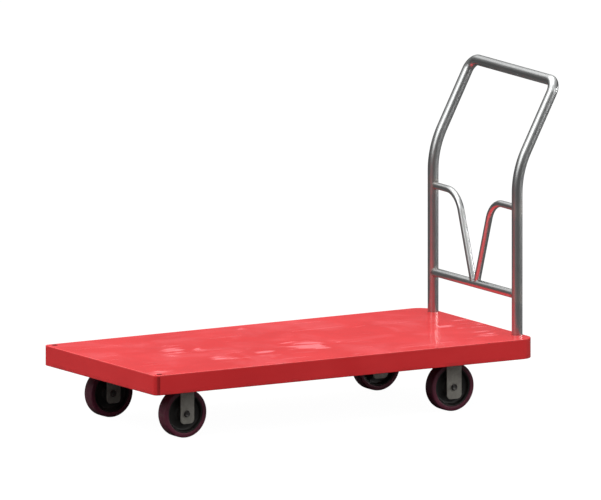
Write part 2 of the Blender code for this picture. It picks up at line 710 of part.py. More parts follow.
def add_axle(prefix, location, parent):
    """The pieces that stay still with the fork: bolt, nut and sleeve."""
    seat = FORK_OUTER + GAP
    length = 2 * seat + AXLE_BOLT_BEYOND_FORK
    pin = bolt(AXLE_HEX_RADIUS, AXLE_HEAD_HEIGHT, AXLE_FLANGE_RADIUS, HEX_FLANGE_HEIGHT,
               AXLE_BOLT_RADIUS, length)
    pin = moved(turned(pin, ALONG_MINUS_Y), (0, -seat, 0))
    add_object(prefix + "_axle_bolt", pin, "bolt_steel", location, parent)
    far_nut = nut(AXLE_HEX_RADIUS, AXLE_NUT_HEIGHT, AXLE_BOLT_RADIUS + GAP,
                  AXLE_FLANGE_RADIUS, HEX_FLANGE_HEIGHT)
    far_nut = moved(turned(far_nut, ALONG_MINUS_Y.inverted()), (0, seat, 0))
    add_object(prefix + "_axle_nut", far_nut, "bolt_steel", location, parent)
    reach = FORK_INNER - GAP
    sleeve = turned(washer(AXLE_BOLT_RADIUS + GAP, SLEEVE_RADIUS, -reach, reach, 16), ALONG_MINUS_Y)
    add_object(prefix + "_axle_sleeve", sleeve, "zinc_steel", location, parent)


def add_wheel(prefix, location, parent):
    """The pieces that turn together about the axle."""
    axle = add_empty(prefix + "_wheel_axis", location, parent)
    add_object(prefix + "_tread", tread(), "tread_rubber", location, axle)
    add_object(prefix + "_hub", hub(), "hub_plastic", location, axle)
    reach = BEARING_HALF_LENGTH
    bearing = turned(washer(BEARING_BORE, BEARING_RADIUS, -reach, reach, 16), ALONG_MINUS_Y)
    add_object(prefix + "_bearing", bearing, "bearing_steel", location, axle)


def build_rigid_caster(name, side):
    prefix = "rigid_" + name
    axle = Vector((FRONT_AXLE_X, side * TRACK / 2, AXLE_HEIGHT))
    plate = Vector((FRONT_AXLE_X, side * TRACK / 2, PLATE_TOP))
    add_object(prefix + "_top_plate", top_plate(), "zinc_steel", plate)
    add_object(prefix + "_fork", rigid_fork(), "zinc_steel", axle)
    add_axle(prefix, axle, None)
    add_wheel(prefix, axle, None)


def build_swivel_caster(name, side):
    prefix = "swivel_" + name
    axle = Vector((REAR_AXLE_X, side * TRACK / 2, AXLE_HEIGHT))
    plate = Vector((KINGPIN_X, side * TRACK / 2, PLATE_TOP))
    add_object(prefix + "_top_plate", swivel_top_plate(), "zinc_steel", plate)
    add_object(prefix + "_kingpin", kingpin(), "bolt_steel", plate)
    lock_nut = moved(nut(PIN_NUT_RADIUS, PIN_NUT_HEIGHT, PIN_RADIUS + GAP), (0, 0, -PIN_NUT_BOTTOM))
    add_object(prefix + "_kingpin_nut", lock_nut, "bolt_steel", plate)
    pivot = add_empty(prefix + "_pivot", plate)
    add_object(prefix + "_ball_bearing", ball_bearing(), "bearing_steel", plate, pivot)
    add_object(prefix + "_fork", swivel_fork(), "zinc_steel", axle, pivot)
    add_axle(prefix, axle, pivot)
    add_wheel(prefix, axle, pivot)


def main():
    for old in list(bpy.data.objects):
        bpy.data.objects.remove(old)
    build_deck()
    build_handle()
    build_handle_fixings()
    for name, side in SIDES:
        build_rigid_caster(name, side)
        build_swivel_caster(name, side)
    bpy.context.view_layer.update()


main()
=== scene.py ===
"""Looks of the flatbed platform truck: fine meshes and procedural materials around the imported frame.

Metres, +Z up. +X points to the end that carries the handle, -Y is the left-hand side.
"""

from math import acos, atan2, cos, pi, radians, sin, sqrt, tan

import bmesh
import bpy
from mathutils import Matrix, Vector


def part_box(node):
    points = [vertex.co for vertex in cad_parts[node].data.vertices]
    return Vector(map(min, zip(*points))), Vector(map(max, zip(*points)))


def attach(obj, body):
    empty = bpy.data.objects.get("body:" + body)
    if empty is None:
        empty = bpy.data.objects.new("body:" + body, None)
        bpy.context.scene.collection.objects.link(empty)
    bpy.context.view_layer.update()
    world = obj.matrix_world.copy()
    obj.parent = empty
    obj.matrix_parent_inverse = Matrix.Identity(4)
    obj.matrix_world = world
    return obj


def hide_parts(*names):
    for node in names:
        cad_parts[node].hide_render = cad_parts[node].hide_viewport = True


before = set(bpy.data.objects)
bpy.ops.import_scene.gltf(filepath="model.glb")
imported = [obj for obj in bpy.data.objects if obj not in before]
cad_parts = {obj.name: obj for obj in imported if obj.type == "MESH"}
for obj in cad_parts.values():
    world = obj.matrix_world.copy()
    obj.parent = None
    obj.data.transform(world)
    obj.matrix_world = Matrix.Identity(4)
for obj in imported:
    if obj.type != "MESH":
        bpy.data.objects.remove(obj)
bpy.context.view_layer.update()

SIDES = (("left", -1), ("right", 1))
KINDS = ("rigid", "swivel")


def put_in_scene(name, data):
    """A new object, linked to the scene."""
    thing = bpy.data.objects.new(name, data)
    bpy.context.scene.collection.objects.link(thing)
    return thing


def middle(node):
    low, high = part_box(node)
    return (low + high) / 2


# ---- Where the CAD frame is ----

deck_low, deck_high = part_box("deck_plate")
DECK_FRONT = deck_low.x
DECK_REAR = deck_high.x
DECK_MIDDLE = (DECK_FRONT + DECK_REAR) / 2
DECK_TOP = deck_high.z
FLANGE_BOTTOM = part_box("deck_flange_left")[0].z
HALF_LENGTH = (DECK_REAR - DECK_FRONT) / 2
HALF_WIDTH = deck_high.y
HANDLE_X = middle("handle_crossbar").x
CROSSBAR_Z = middle("handle_crossbar").z
PLATE_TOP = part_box("rigid_left_top_plate")[1].z
PLATE_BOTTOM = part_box("rigid_left_top_plate")[0].z
FORK_OUTER = (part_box("rigid_left_fork")[1].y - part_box("rigid_left_fork")[0].y) / 2
WHEEL_RADIUS = middle("rigid_left_tread").z

DECK_SHEET = 0.0019
FRONT_CORNER_RADIUS = 0.014
REAR_CORNER_RADIUS = 0.042
EDGE_RADIUS = 0.0017
LIP_WIDTH = 0.012
SEAM_WIDTH = 0.0016             # closed joint between the side and end flanges
SEAM_DEPTH = 0.0007
CORNER_HOLE_RADIUS = 0.0075
CORNER_HOLE_FROM_END = 0.0244
CORNER_HOLE_FROM_SIDE = 0.0195

TUBE_RADIUS = 0.01495           # a hair under the CAD tube, so that the finer mesh stays in its box
TUBE_WALL = 0.0016
HALF_SPACING = 0.2245
HANDLE_FOOT = 0.150
KNEE_Z = 0.651
KNEE_RADIUS = 0.25
LEAN_ANGLE = radians(27.75)
LEAN_LENGTH = 0.270
TOP_CORNER_RADIUS = 0.034
CROSSBAR_RADIUS = 0.0120
BRACE_RADIUS = 0.0095
BRACE_Z = 0.549
BRACE_BEND_RADIUS = 0.075
BRACE_ANGLE = radians(19.3)
BRACE_FOOT_OFFSET = 0.0078

FORK_INNER = 0.0200
SWIVEL_TRAIL = 0.040
SWIVEL_CROWN_TOP = 0.142
RACE_TOP = 0.157
TREAD_BORE = 0.0545
WHEEL_HALF_WIDTH = 0.019

# fasteners; a hexagon's radius runs to its corners
HANDLE_HEX_RADIUS = 0.0072
PLATE_HEX_RADIUS = 0.0075
PLATE_SHANK_RADIUS = 0.0040
AXLE_HEX_RADIUS = 0.0087
AXLE_FLANGE_RADIUS = 0.0095
AXLE_FLANGE_HEIGHT = 0.0014
WASHER_THICKNESS = 0.0012

ALONG_X, ALONG_Y, ALONG_Z = range(3)

# members under the deck: web, sheet and direction, then how far the first weld is from the end
CHANNEL = (0.120, 0.0025, ALONG_Y, 0.025)
RIB = (0.045, DECK_SHEET, ALONG_X, 0.020)
MEMBERS = (("cross_channel_front", CHANNEL), ("cross_channel_rear", CHANNEL),
           ("stiffener_left", RIB), ("stiffener_right", RIB))
MEMBER_LIP = 0.018
WELD_PITCH = 0.055


# ---- Camera ----

CAMERA_TURN = radians(30.901)   # round the truck from straight across its left side
CAMERA_RISE = radians(9.603)
VIEW_WIDTH = 1.6491
CAMERA_DISTANCE = 4.0

right = Vector((cos(CAMERA_TURN), -sin(CAMERA_TURN), 0))
back = Vector((-sin(CAMERA_TURN) * cos(CAMERA_RISE), -cos(CAMERA_TURN) * cos(CAMERA_RISE), sin(CAMERA_RISE)))
up = back.cross(right)
framed_point = Vector((HANDLE_X - 1.2050, -0.3025, 0.196))
camera_data = bpy.data.cameras.new("camera")
camera_data.type = "ORTHO"
camera_data.ortho_scale = VIEW_WIDTH
camera = put_in_scene("camera", camera_data)
camera.matrix_world = Matrix((right, up, back)).transposed().to_4x4()
camera.location = framed_point + 0.3996 * right + 0.34755 * up + CAMERA_DISTANCE * back
bpy.context.scene.camera = camera


# ---- Meshes ----

def as_mesh(shape, angle=35):
    """Turn a bmesh into a smooth mesh whose edges over the angle, in degrees, stay sharp."""
    mesh = bpy.data.meshes.new("piece")
    shape.to_mesh(mesh)
    shape.free()
    mesh.shade_smooth()
    mesh.set_sharp_from_angle(angle=radians(angle))
    return mesh


def finish_mesh(shape, angle=35):
    """The same, once every face points outwards."""
    bmesh.ops.recalc_face_normals(shape, faces=shape.faces)
    return as_mesh(shape, angle)


def loft(rings, closed=False, angle=35, twist=0):
    """Skin equal-length rings; the ends are capped, or joined when closed, twist points round."""
    shape = bmesh.new()
    loops = [[shape.verts.new(point) for point in ring] for ring in rings]
    count = len(rings[0])
    pairs = list(zip(loops, loops[1:]))
    if closed:
        pairs.append((loops[-1], loops[0][twist:] + loops[0][:twist]))
    for lower, upper in pairs:
        for k in range(count):
            after = (k + 1) % count
            shape.faces.new((lower[k], lower[after], upper[after], upper[k]))
    if not closed:
        shape.faces.new(loops[0])
        shape.faces.new(loops[-1])
    return finish_mesh(shape, angle)


def round_ring(radius, z, points=48):
    return [Vector((radius * cos(2 * pi * k / points), radius * sin(2 * pi * k / points), z))
            for k in range(points)]


def round_rings(profile, points=48):
    return [round_ring(radius, z, points) for radius, z in profile]


def lathe(profile, segments=64, closed=False, angle=35):
    """Turn (radius, z) points about Z."""
    return loft(round_rings(profile, segments), closed, angle)


def arc(centre, radius, start, end, steps):
    """Points of an arc in a plane; angles in degrees."""
    points = []
    for k in range(steps + 1):
        angle = radians(start + (end - start) * k / steps)
        points.append((centre[0] + radius * cos(angle), centre[1] + radius * sin(angle)))
    return points


def extrude(outline, low, high, axis):
    """Carry an outline along an axis; its points give the other two coordinates in order."""
    rings = []
    for depth in (low, high):
        rings.append([Vector((*point[:axis], depth, *point[axis:])) for point in outline])
    return loft(rings)


def rounded_rectangle(length, width, radius, steps):
    """Outline centred on the origin, with arcs at its corners."""
    points = []
    for side_x, side_y, quarter in ((1, 1, 0), (-1, 1, 1), (-1, -1, 2), (1, -1, 3)):
        centre = (side_x * (length / 2 - radius), side_y * (width / 2 - radius))
        points += arc(centre, radius, 90 * quarter, 90 * (quarter + 1), steps)
    return points


def filleted(corners, radii, steps=5):
    """A closed outline with each corner rounded to its radius."""
    points = []
    count = len(corners)
    for k, (corner, radius) in enumerate(zip(corners, radii)):
        here = Vector(corner)
        if radius <= 0:
            points.append(tuple(here))
            continue
        before = (Vector(corners[k - 1]) - here).normalized()
        after = (Vector(corners[(k + 1) % count]) - here).normalized()
        half = acos(max(-1.0, min(1.0, before.dot(after)))) / 2
        reach = radius / tan(half)
        centre = here + (before + after).normalized() * (radius / sin(half))
        first = here + before * reach - centre
        last = here + after * reach - centre
        sweep_angle = atan2(first.x * last.y - first.y * last.x, first.dot(last))
        for n in range(steps + 1):
            turn = sweep_angle * n / steps
            points.append((centre.x + first.x * cos(turn) - first.y * sin(turn),
                           centre.y + first.x * sin(turn) + first.y * cos(turn)))
    return points


def placed(mesh, matrix):
    copy = mesh.copy()
    copy.transform(matrix)
    return copy


def moved(mesh, offset):
    return placed(mesh, Matrix.Translation(offset))


def joined(meshes):
    """Several meshes as one."""
    shape = bmesh.new()
    for mesh in meshes:
        shape.from_mesh(mesh)
    return as_mesh(shape)


def combine(base, others, operation):
    """Apply exact Boolean operations, one operand at a time, and return the new mesh."""
    helper = put_in_scene("boolean_base", base)
    operands = []
    for number, other in enumerate(others):
        operand = put_in_scene("boolean_operand_" + str(number), other)
        modifier = helper.modifiers.new("combine", "BOOLEAN")
        modifier.operation = operation
        modifier.solver = "EXACT"
        modifier.object = operand
        operands.append(operand)
    bpy.context.view_layer.update()
    result = bpy.data.meshes.new_from_object(helper.evaluated_get(bpy.context.evaluated_depsgraph_get()))
    for item in [helper] + operands:
        bpy.data.objects.remove(item)
    return result


def softened(mesh, width, segments=2, angle=32):
    """Round every edge over the angle, in degrees."""
    shape = bmesh.new()
    shape.from_mesh(mesh)
    bmesh.ops.remove_doubles(shape, verts=shape.verts, dist=1e-6)
    bmesh.ops.dissolve_limit(shape, angle_limit=radians(1), verts=shape.verts, edges=shape.edges)
    edges = [edge for edge in shape.edges
             if len(edge.link_faces) == 2 and edge.calc_face_angle(0) > radians(angle)]
    bmesh.ops.bevel(shape, geom=edges, offset=width, segments=segments, profile=0.5, affect="EDGES",
                    clamp_overlap=True)
    return finish_mesh(shape, 60)


def path_frames(path, closed=False):
    """For each point of a path: the point and two directions square to it, without twist."""
    count = len(path)
    tangents = []
    for k in range(count):
        before = path[k - 1] if closed else path[max(k - 1, 0)]
        after = path[(k + 1) % count] if closed else path[min(k + 1, count - 1)]
        tangents.append((after - before).normalized())
    normal = Vector((1, 0, 0)) if abs(tangents[0].x) < 0.5 else Vector((0, 0, 1))
    frames = []
    for k, (point, tangent) in enumerate(zip(path, tangents)):
        if k:
            normal.rotate(tangents[k - 1].rotation_difference(tangent))
        normal = (normal - tangent * normal.dot(tangent)).normalized()
        frames.append((point, normal.copy(), tangent.cross(normal)))
    return frames


def spokes(normal, across, count):
    """Directions spread evenly round a circle."""
    return [normal * cos(2 * pi * n / count) + across * sin(2 * pi * n / count) for n in range(count)]


def tube(path, radius, sides=40, bore=None):
    """A round tube, hollow when it has a bore, along a path of points."""
    outer_rings = []
    inner_rings = []
    for point, normal, across in path_frames(path):
        directions = spokes(normal, across, sides)
        outer_rings.append([point + radius * direction for direction in directions])
        if bore:
            inner_rings.append([point + bore * direction for direction in directions])
    return loft(outer_rings + inner_rings[::-1], closed=bool(bore))


def weld_bead(branch_point, branch_direction, branch_radius, main_point, main_direction, main_radius,
              bead=0.0017, ripple=0.12, ripples=26):
    """A rippled fillet weld along the line where a branch tube meets the tube that it stands on."""
    branch_direction = branch_direction.normalized()
    main_direction = main_direction.normalized()
    side = branch_direction.orthogonal().normalized()
    other = branch_direction.cross(side)
    ring_sides = 8
    line = []
    for spoke in spokes(side, other, ripples * 4):
        start = branch_point + branch_radius * spoke - main_point
        flat_start = start - main_direction * start.dot(main_direction)
        flat_run = branch_direction - main_direction * branch_direction.dot(main_direction)
        a = flat_run.dot(flat_run)
        b = 2 * flat_start.dot(flat_run)
        c = flat_start.dot(flat_start) - main_radius ** 2
        travel = (-b - sqrt(max(b * b - 4 * a * c, 0.0))) / (2 * a)
        line.append(main_point + start + branch_direction * travel)
    rings = []
    for k, (point, normal, across) in enumerate(path_frames(line, closed=True)):
        size = bead * (1 + ripple * cos(2 * pi * k / 4))
        rings.append([point + size * direction for direction in spokes(normal, across, ring_sides)])
    # the directions come back turned by a little after one loop, so close it with the nearest offset
    best = min(range(ring_sides), key=lambda n: (rings[-1][0] - rings[0][n]).length)
    return loft(rings, closed=True, angle=80, twist=best)


def hex_ring(radius, z, points=48):
    """Points round a hexagon whose corners are at radius."""
    ring = []
    for k in range(points):
        angle = 2 * pi * k / points
        reach = radius * cos(pi / 6) / cos((angle % (pi / 3)) - pi / 6)
        ring.append(Vector((reach * cos(angle), reach * sin(angle), z)))
    return ring


def chamfered_hex(radius, low, high, both_ends=False):
    """Rings of a hexagon whose corners are turned off at its ends, as on a bolt head."""
    face = radius * 0.84

    def turned_off(z, way):
        ring = []
        for point in hex_ring(radius, z):
            over = Vector((point.x, point.y)).length - face
            ring.append(Vector((point.x, point.y, z - way * over * tan(radians(30)))))
        return ring

    foot = [round_ring(face, low), turned_off(low, -1)] if both_ends else [hex_ring(radius, low)]
    return foot + [turned_off(high, 1), round_ring(face, high)]


def flange_profile(radius, height):
    return [(radius, 0.0), (radius, height * 0.4), (radius - 0.0006, height * 0.85)]


def hex_bolt(hex_radius, head_height, shank_radius, length, flange_radius=0.0, flange_height=0.0, dish=0.0):
    """A hexagon bolt along Z, head above z = 0, with a threaded end."""
    top = flange_height + head_height
    rings = [round_ring(hex_radius * 0.55, top - dish)]
    if dish:
        rings.append(round_ring(hex_radius * 0.68, top - dish * 0.2))
    rings += chamfered_hex(hex_radius, flange_height, top)[::-1]
    if flange_height:
        rings += round_rings(flange_profile(flange_radius, flange_height)[::-1])
    thread_start = -length * 0.55
    rings += round_rings([(shank_radius, 0.0), (shank_radius, thread_start)])
    rings += round_rings(thread(shank_radius, thread_start, -length))
    return loft(rings)


def thread(radius, start, end, pitch=0.00125):
    """Profile of ridges that stand for a screw thread, from start down to end."""
    turns = max(1, int(abs(end - start) / pitch))
    points = []
    for k in range(turns):
        z = start - pitch * k
        points += [(radius, z - pitch * 0.15), (radius - 0.00045, z - pitch * 0.55), (radius, z - pitch * 0.95)]
    points += [(radius - 0.0004, end + 0.0003), (radius - 0.0009, end)]
    return points


def hex_nut(hex_radius, height, bore, flange_radius=0.0, flange_height=0.0, collar=0.0):
    """A hexagon nut along Z standing on z = 0, with an insert collar when asked."""
    rings = [round_ring(bore, 0.0)]
    if flange_height:
        rings += round_rings(flange_profile(flange_radius, flange_height))
    rings += chamfered_hex(hex_radius, flange_height, height - collar, both_ends=not flange_height)
    if collar:
        rings += round_rings([(hex_radius * 0.76, height - collar + 0.0002),
                              (hex_radius * 0.74, height - 0.0008), (hex_radius * 0.68, height)])
    rings.append(round_ring(bore, height))
    return loft(rings, closed=True)


def ring_washer(inner, outer, low, high, ease=0.0003):
    profile = ((inner, low), (outer - ease, low), (outer, low + ease), (outer, high - ease),
               (outer - ease, high), (inner, high))
    return lathe(profile, 48, closed=True)


def shift(x, y, z):
    return Matrix.Translation((x, y, z))


def spin(angle):
    return Matrix.Rotation(angle, 4, "Z")


TO_PLUS_X = Matrix.Rotation(pi / 2, 4, "Y")      # Z becomes +X
TO_MINUS_Y = Matrix.Rotation(pi / 2, 4, "X")     # Z becomes -Y
TO_PLUS_Y = Matrix.Rotation(-pi / 2, 4, "X")     # Z becomes +Y


# ---- Materials ----

MATERIALS = {}      # filled by Graph, under the material's own name


class Tree:
    """A node tree of a material or a world, with one short way to add and link nodes."""

    def __init__(self, owner):
        owner.use_nodes = True
        self.nodes = owner.node_tree.nodes
        self.links = owner.node_tree.links

    def put(self, value, socket):
        """Link a socket, or give it a value."""
        if isinstance(value, bpy.types.NodeSocket):
            self.links.new(value, socket)
        else:
            socket.default_value = value

    def add(self, kind, inputs, **settings):
        node = self.nodes.new(kind)
        for name, value in settings.items():
            setattr(node, name, value)
        for name, value in inputs.items():
            self.put(value, node.inputs[name])
        return node

    def split_view(self, seen, felt, output):
        """Show the camera one shader and every other ray another."""
        to_camera = self.add("ShaderNodeLightPath", {}).outputs["Is Camera Ray"]
        choice = self.add("ShaderNodeMixShader", {0: to_camera, 1: felt, 2: seen})
        self.add(output, {0: choice.outputs[0]})


class Graph(Tree):
    """A material: its Principled shader with short ways to feed it."""

    def __init__(self, name):
        MATERIALS[name] = bpy.data.materials.new(name)
        super().__init__(MATERIALS[name])
        self.shader = self.nodes["Principled BSDF"]
        self.coordinates = self.nodes.new("ShaderNodeTexCoord").outputs["Object"]
        self.relief = None

    def feed(self, name, value):
        self.put(value, self.shader.inputs[name])

    def sheen(self, field, low, high, start=0.2, end=0.8):
        """Roughness that follows a field."""
        self.rough = self.span(field, start, end, low, high, smooth=False)
        self.feed("Roughness", self.rough)

    def duller(self, factor, amount):
        """Add to the roughness where the factor is high."""
        self.rough = self.math("ADD", self.rough, self.mul(factor, amount))
        self.feed("Roughness", self.rough)

    def tone(self, field, dark, light):
        """Base colour that follows a field."""
        self.base(self.span(field, 0.3, 0.7), dark, light)

    def scaled(self, scale, turn=(0, 0, 0), offset=(0, 0, 0)):
        return self.add("ShaderNodeMapping", {0: self.coordinates, 1: offset, 2: turn, 3: scale}).outputs[0]

    def noise(self, scale, detail=3.0, rough=0.5, warp=0.0, vector=None):
        inputs = {"Vector": vector or self.coordinates, "Scale": scale, "Detail": detail,
                  "Roughness": rough, "Distortion": warp}
        return self.add("ShaderNodeTexNoise", inputs).outputs["Fac"]

    def math(self, operation, first, second=0.0):
        return self.add("ShaderNodeMath", {0: first, 1: second}, operation=operation).outputs[0]

    def mul(self, first, second):
        return self.math("MULTIPLY", first, second)

    def away(self, value, centre):
        """How far a value is from a centre, either way."""
        return self.math("ABSOLUTE", self.math("SUBTRACT", value, centre))

    def span(self, value, low, high, to_low=0.0, to_high=1.0, smooth=True):
        """Carry a value's range from low to high over to another range."""
        inputs = {"Value": value, "From Min": low, "From Max": high, "To Min": to_low, "To Max": to_high}
        kind = "SMOOTHSTEP" if smooth else "LINEAR"
        return self.add("ShaderNodeMapRange", inputs, interpolation_type=kind).outputs[0]

    def base(self, factor, first, second):
        """Mix two colours into the base colour."""
        first, second = [(*colour, 1.0) if isinstance(colour, tuple) else colour for colour in (first, second)]
        node = self.add("ShaderNodeMix", {0: factor, 6: first, 7: second}, data_type="RGBA")
        self.colour = node.outputs[2]
        self.feed("Base Color", self.colour)

    def cover(self, factor, colour):
        """Lay another colour over the base colour."""
        self.base(factor, self.colour, colour)

    def axes(self):
        node = self.add("ShaderNodeSeparateXYZ", {0: self.coordinates})
        return node.outputs[0], node.outputs[1], node.outputs[2]

    def facing(self):
        """The surface's own direction, split in three."""
        normal = self.nodes.new("ShaderNodeTexCoord").outputs["Normal"]
        node = self.add("ShaderNodeSeparateXYZ", {0: normal})
        return node.outputs[0], node.outputs[1], node.outputs[2]

    def bump(self, height, strength, distance):
        """Relief on top of what is there already."""
        inputs = {"Height": height, "Strength": strength, "Distance": distance}
        if self.relief is not None:
            inputs["Normal"] = self.relief
        self.relief = self.add("ShaderNodeBump", inputs).outputs[0]
        self.feed("Normal", self.relief)


def deck_paint():
    """Glossy red enamel: cloudy rubbed patches on top, chipped edges, orange peel."""
    g = Graph("deck_paint")
    x, y, z = g.axes()
    nx, ny, nz = g.facing()
    on_top = g.span(nz, 0.6, 0.95)
    mottled = g.noise(3.0, 3, 0.5, 0.6)
    g.base(g.span(mottled, 0.35, 0.68), (0.76, 0.027, 0.031), (0.82, 0.036, 0.040))

    # rubbed patches where loads slide
    wisps = g.noise(9.0, 5, 0.62, 1.6, g.scaled((0.55, 1.6, 1.0), (0, 0, radians(24))))
    strokes = g.noise(22.0, 4, 0.6, 0.5, g.scaled((0.25, 1.5, 1.0), (0, 0, radians(-12))))
    rub = g.math("ADD", g.mul(wisps, 0.7), g.mul(strokes, 0.3))
    patches = None
    for centre, reach, strength in RUBBED_PATCHES:
        place = (DECK_MIDDLE + centre[0], centre[1], DECK_TOP)
        local = g.add("ShaderNodeMapping", {0: g.coordinates, 1: place, 2: (0, 0, PATCH_TURN),
                                            3: (*reach, 1)}, vector_type="TEXTURE").outputs[0]
        distance = g.add("ShaderNodeVectorMath", {0: local}, operation="LENGTH").outputs["Value"]
        patch = g.span(distance, 1.0, 0.15, 0.0, strength)
        patches = patch if patches is None else g.math("MAXIMUM", patches, patch)
    threshold = g.math("SUBTRACT", 0.66, g.mul(patches, 0.23))
    rubbed = g.mul(g.span(rub, threshold, g.math("ADD", threshold, 0.15)), on_top)
    haze = g.mul(g.span(g.noise(5.5, 4, 0.55, 0.8), 0.42, 0.70, 0.0, 0.32), on_top)
    g.cover(haze, (0.95, 0.15, 0.17))
    g.cover(g.mul(rubbed, 0.62), (1.0, 0.27, 0.30))

    # fine scratches along the length
    scratch_field = g.noise(70.0, 2, 0.5, 0.15, g.scaled((0.05, 2.2, 1.0), (0, 0, radians(5))))
    scratches = g.mul(g.span(scratch_field, 0.695, 0.73), on_top)
    g.cover(g.mul(scratches, 0.35), (0.98, 0.26, 0.28))

    # worn edges: folded plan coordinates measure the way in from the nearest side
    from_end = g.math("SUBTRACT", HALF_LENGTH, g.away(x, DECK_MIDDLE))
    from_side = g.math("SUBTRACT", HALF_WIDTH, g.math("ABSOLUTE", y))
    from_edge = g.math("MINIMUM", from_end, from_side)
    near_edge = g.mul(g.span(from_edge, 0.0042, 0.0012), g.span(z, DECK_TOP - 0.0045, DECK_TOP - 0.0012))
    edge_wear = g.mul(near_edge, g.span(g.noise(26.0, 4, 0.6), 0.40, 0.62, 0.35, 1.0))
    g.cover(g.mul(edge_wear, 0.15), (1.0, 0.30, 0.30))
    chips = g.mul(g.span(from_edge, 0.007, 0.001), g.span(g.noise(120.0, 3, 0.6), 0.66, 0.70))
    chips = g.mul(chips, g.span(z, DECK_TOP - 0.007, DECK_TOP - 0.002))
    g.cover(g.mul(chips, 0.8), (0.16, 0.06, 0.055))

    # the closed seam beside each front corner: its dark joint, widened into a band of painted shade
    below_top = g.span(z, DECK_TOP - 0.002, DECK_TOP - 0.006)
    from_seam = g.away(x, DECK_FRONT + FRONT_CORNER_RADIUS - 0.003)
    seam = g.mul(g.span(from_seam, 0.0060, 0.0030),
                 g.span(g.math("ABSOLUTE", y), HALF_WIDTH - 0.006, HALF_WIDTH - 0.002))
    g.cover(g.mul(g.mul(seam, below_top), 0.80), (0.26, 0.010, 0.010))
    # painted shade on the rounded corners of the walls, below the top
    corner_painted_shade = g.mul(g.math("ABSOLUTE", nx), g.math("ABSOLUTE", ny))
    corner_painted_shade = g.mul(g.span(corner_painted_shade, 0.05, 0.5, 0.0, 0.45), below_top)
    g.cover(corner_painted_shade, (0.42, 0.016, 0.018))
    # painted shade along the lower edge of the flanges, broken up by vertical streaks
    streaks = g.noise(30.0, 3, 0.55, 0.0, g.scaled((1.0, 1.0, 0.12)))
    low_edge_painted_shade = g.mul(g.span(z, FLANGE_BOTTOM + 0.014, FLANGE_BOTTOM), g.span(streaks, 0.35, 0.7))
    g.cover(g.mul(low_edge_painted_shade, 0.45), (0.33, 0.020, 0.020))
    side_tone = g.span(g.noise(7.0, 3, 0.5, 0.0, g.scaled((1.0, 1.0, 3.0))), 0.35, 0.7, 0.0, 0.16)
    g.cover(side_tone, (0.60, 0.022, 0.026))

    # painted shade on the walls of the corner holes, dark as in a recess
    hole_x = g.math("SUBTRACT", x, DECK_FRONT + CORNER_HOLE_FROM_END)
    hole_y = g.math("SUBTRACT", g.math("ABSOLUTE", y), HALF_WIDTH - CORNER_HOLE_FROM_SIDE)
    from_hole = g.math("SQRT", g.math("ADD", g.mul(hole_x, hole_x), g.mul(hole_y, hole_y)))
    hole_wall_painted_shade = g.span(from_hole, CORNER_HOLE_RADIUS + 0.0008, CORNER_HOLE_RADIUS + 0.0002)
    g.cover(g.mul(hole_wall_painted_shade, 0.95), (0.020, 0.008, 0.008))

    g.sheen(g.noise(16.0, 4, 0.6), 0.13, 0.20, 0.3, 0.7)
    g.duller(g.math("MAXIMUM", rubbed, scratches), 0.16)
    g.duller(g.math("MAXIMUM", low_edge_painted_shade, near_edge), 0.25)
    g.feed("IOR", 1.46)

    peel = g.noise(420.0, 2, 0.5)
    ripple = g.noise(24.0, 2, 0.5)
    g.bump(peel, 0.10, 0.0004)
    g.bump(ripple, 0.06, 0.002)
    g.bump(g.math("SUBTRACT", 1.0, g.math("MAXIMUM", scratches, chips)), 0.25, 0.0004)


def frame_paint():
    """The same paint where nobody polishes it: duller, dusty, with overspray and bare scuffs."""
    g = Graph("frame_paint")
    tone = g.noise(8.0, 4, 0.6, 0.4)
    g.tone(tone, (0.34, 0.020, 0.022), (0.46, 0.032, 0.034))
    dust = g.span(g.noise(34.0, 5, 0.65), 0.48, 0.72, 0.0, 0.5)
    g.cover(dust, (0.42, 0.20, 0.17))
    worn = g.span(g.noise(90.0, 4, 0.6), 0.68, 0.72)
    g.cover(worn, (0.12, 0.06, 0.05))
    g.sheen(tone, 0.42, 0.66)
    g.bump(g.noise(380.0, 2, 0.5), 0.14, 0.0004)
    g.bump(g.math("SUBTRACT", 1.0, worn), 0.3, 0.0003)


def satin_steel():
    """Handle tube: satin steel with fine rings from polishing, smudges and small scratches."""
    g = Graph("handle_steel")
    _, y, z = g.axes()
    broad = g.noise(7.0, 4, 0.55, 0.5)
    smudge = g.noise(38.0, 5, 0.65, 0.8)
    grain = g.noise(300.0, 2, 0.6, 0.0, g.scaled((0.35, 0.35, 1.0)))
    g.tone(broad, (0.43, 0.44, 0.44), (0.50, 0.51, 0.505))
    g.cover(g.span(smudge, 0.55, 0.75, 0.0, 0.30), (0.38, 0.37, 0.365))
    g.cover(g.span(grain, 0.3, 0.7, 0.0, 0.08), (0.62, 0.615, 0.61))
    scratches = g.span(g.noise(160.0, 2, 0.5, 0.1, g.scaled((1.0, 1.0, 0.10), (radians(14), radians(9), 0))),
                       0.70, 0.73)
    g.cover(g.mul(scratches, 0.4), (0.70, 0.69, 0.68))
    # straw and blue heat tint beside the welds of the crossbar and of the braces
    tint = None
    for height in (CROSSBAR_Z, BRACE_Z):
        band = g.span(g.away(z, height), 0.030, 0.016)
        tint = band if tint is None else g.math("MAXIMUM", tint, band)
    at_upright = g.span(g.away(g.math("ABSOLUTE", y), HALF_SPACING), 0.030, 0.017)
    tint = g.mul(g.mul(tint, at_upright), g.span(smudge, 0.35, 0.65, 0.35, 1.0))
    g.cover(g.mul(tint, 0.35), (0.31, 0.25, 0.20))
    g.feed("Metallic", 1.0)
    g.sheen(smudge, 0.27, 0.33, 0.25, 0.75)
    g.duller(tint, 0.12)
    g.bump(grain, 0.02, 0.00002)
    g.bump(g.math("SUBTRACT", 1.0, scratches), 0.15, 0.0002)


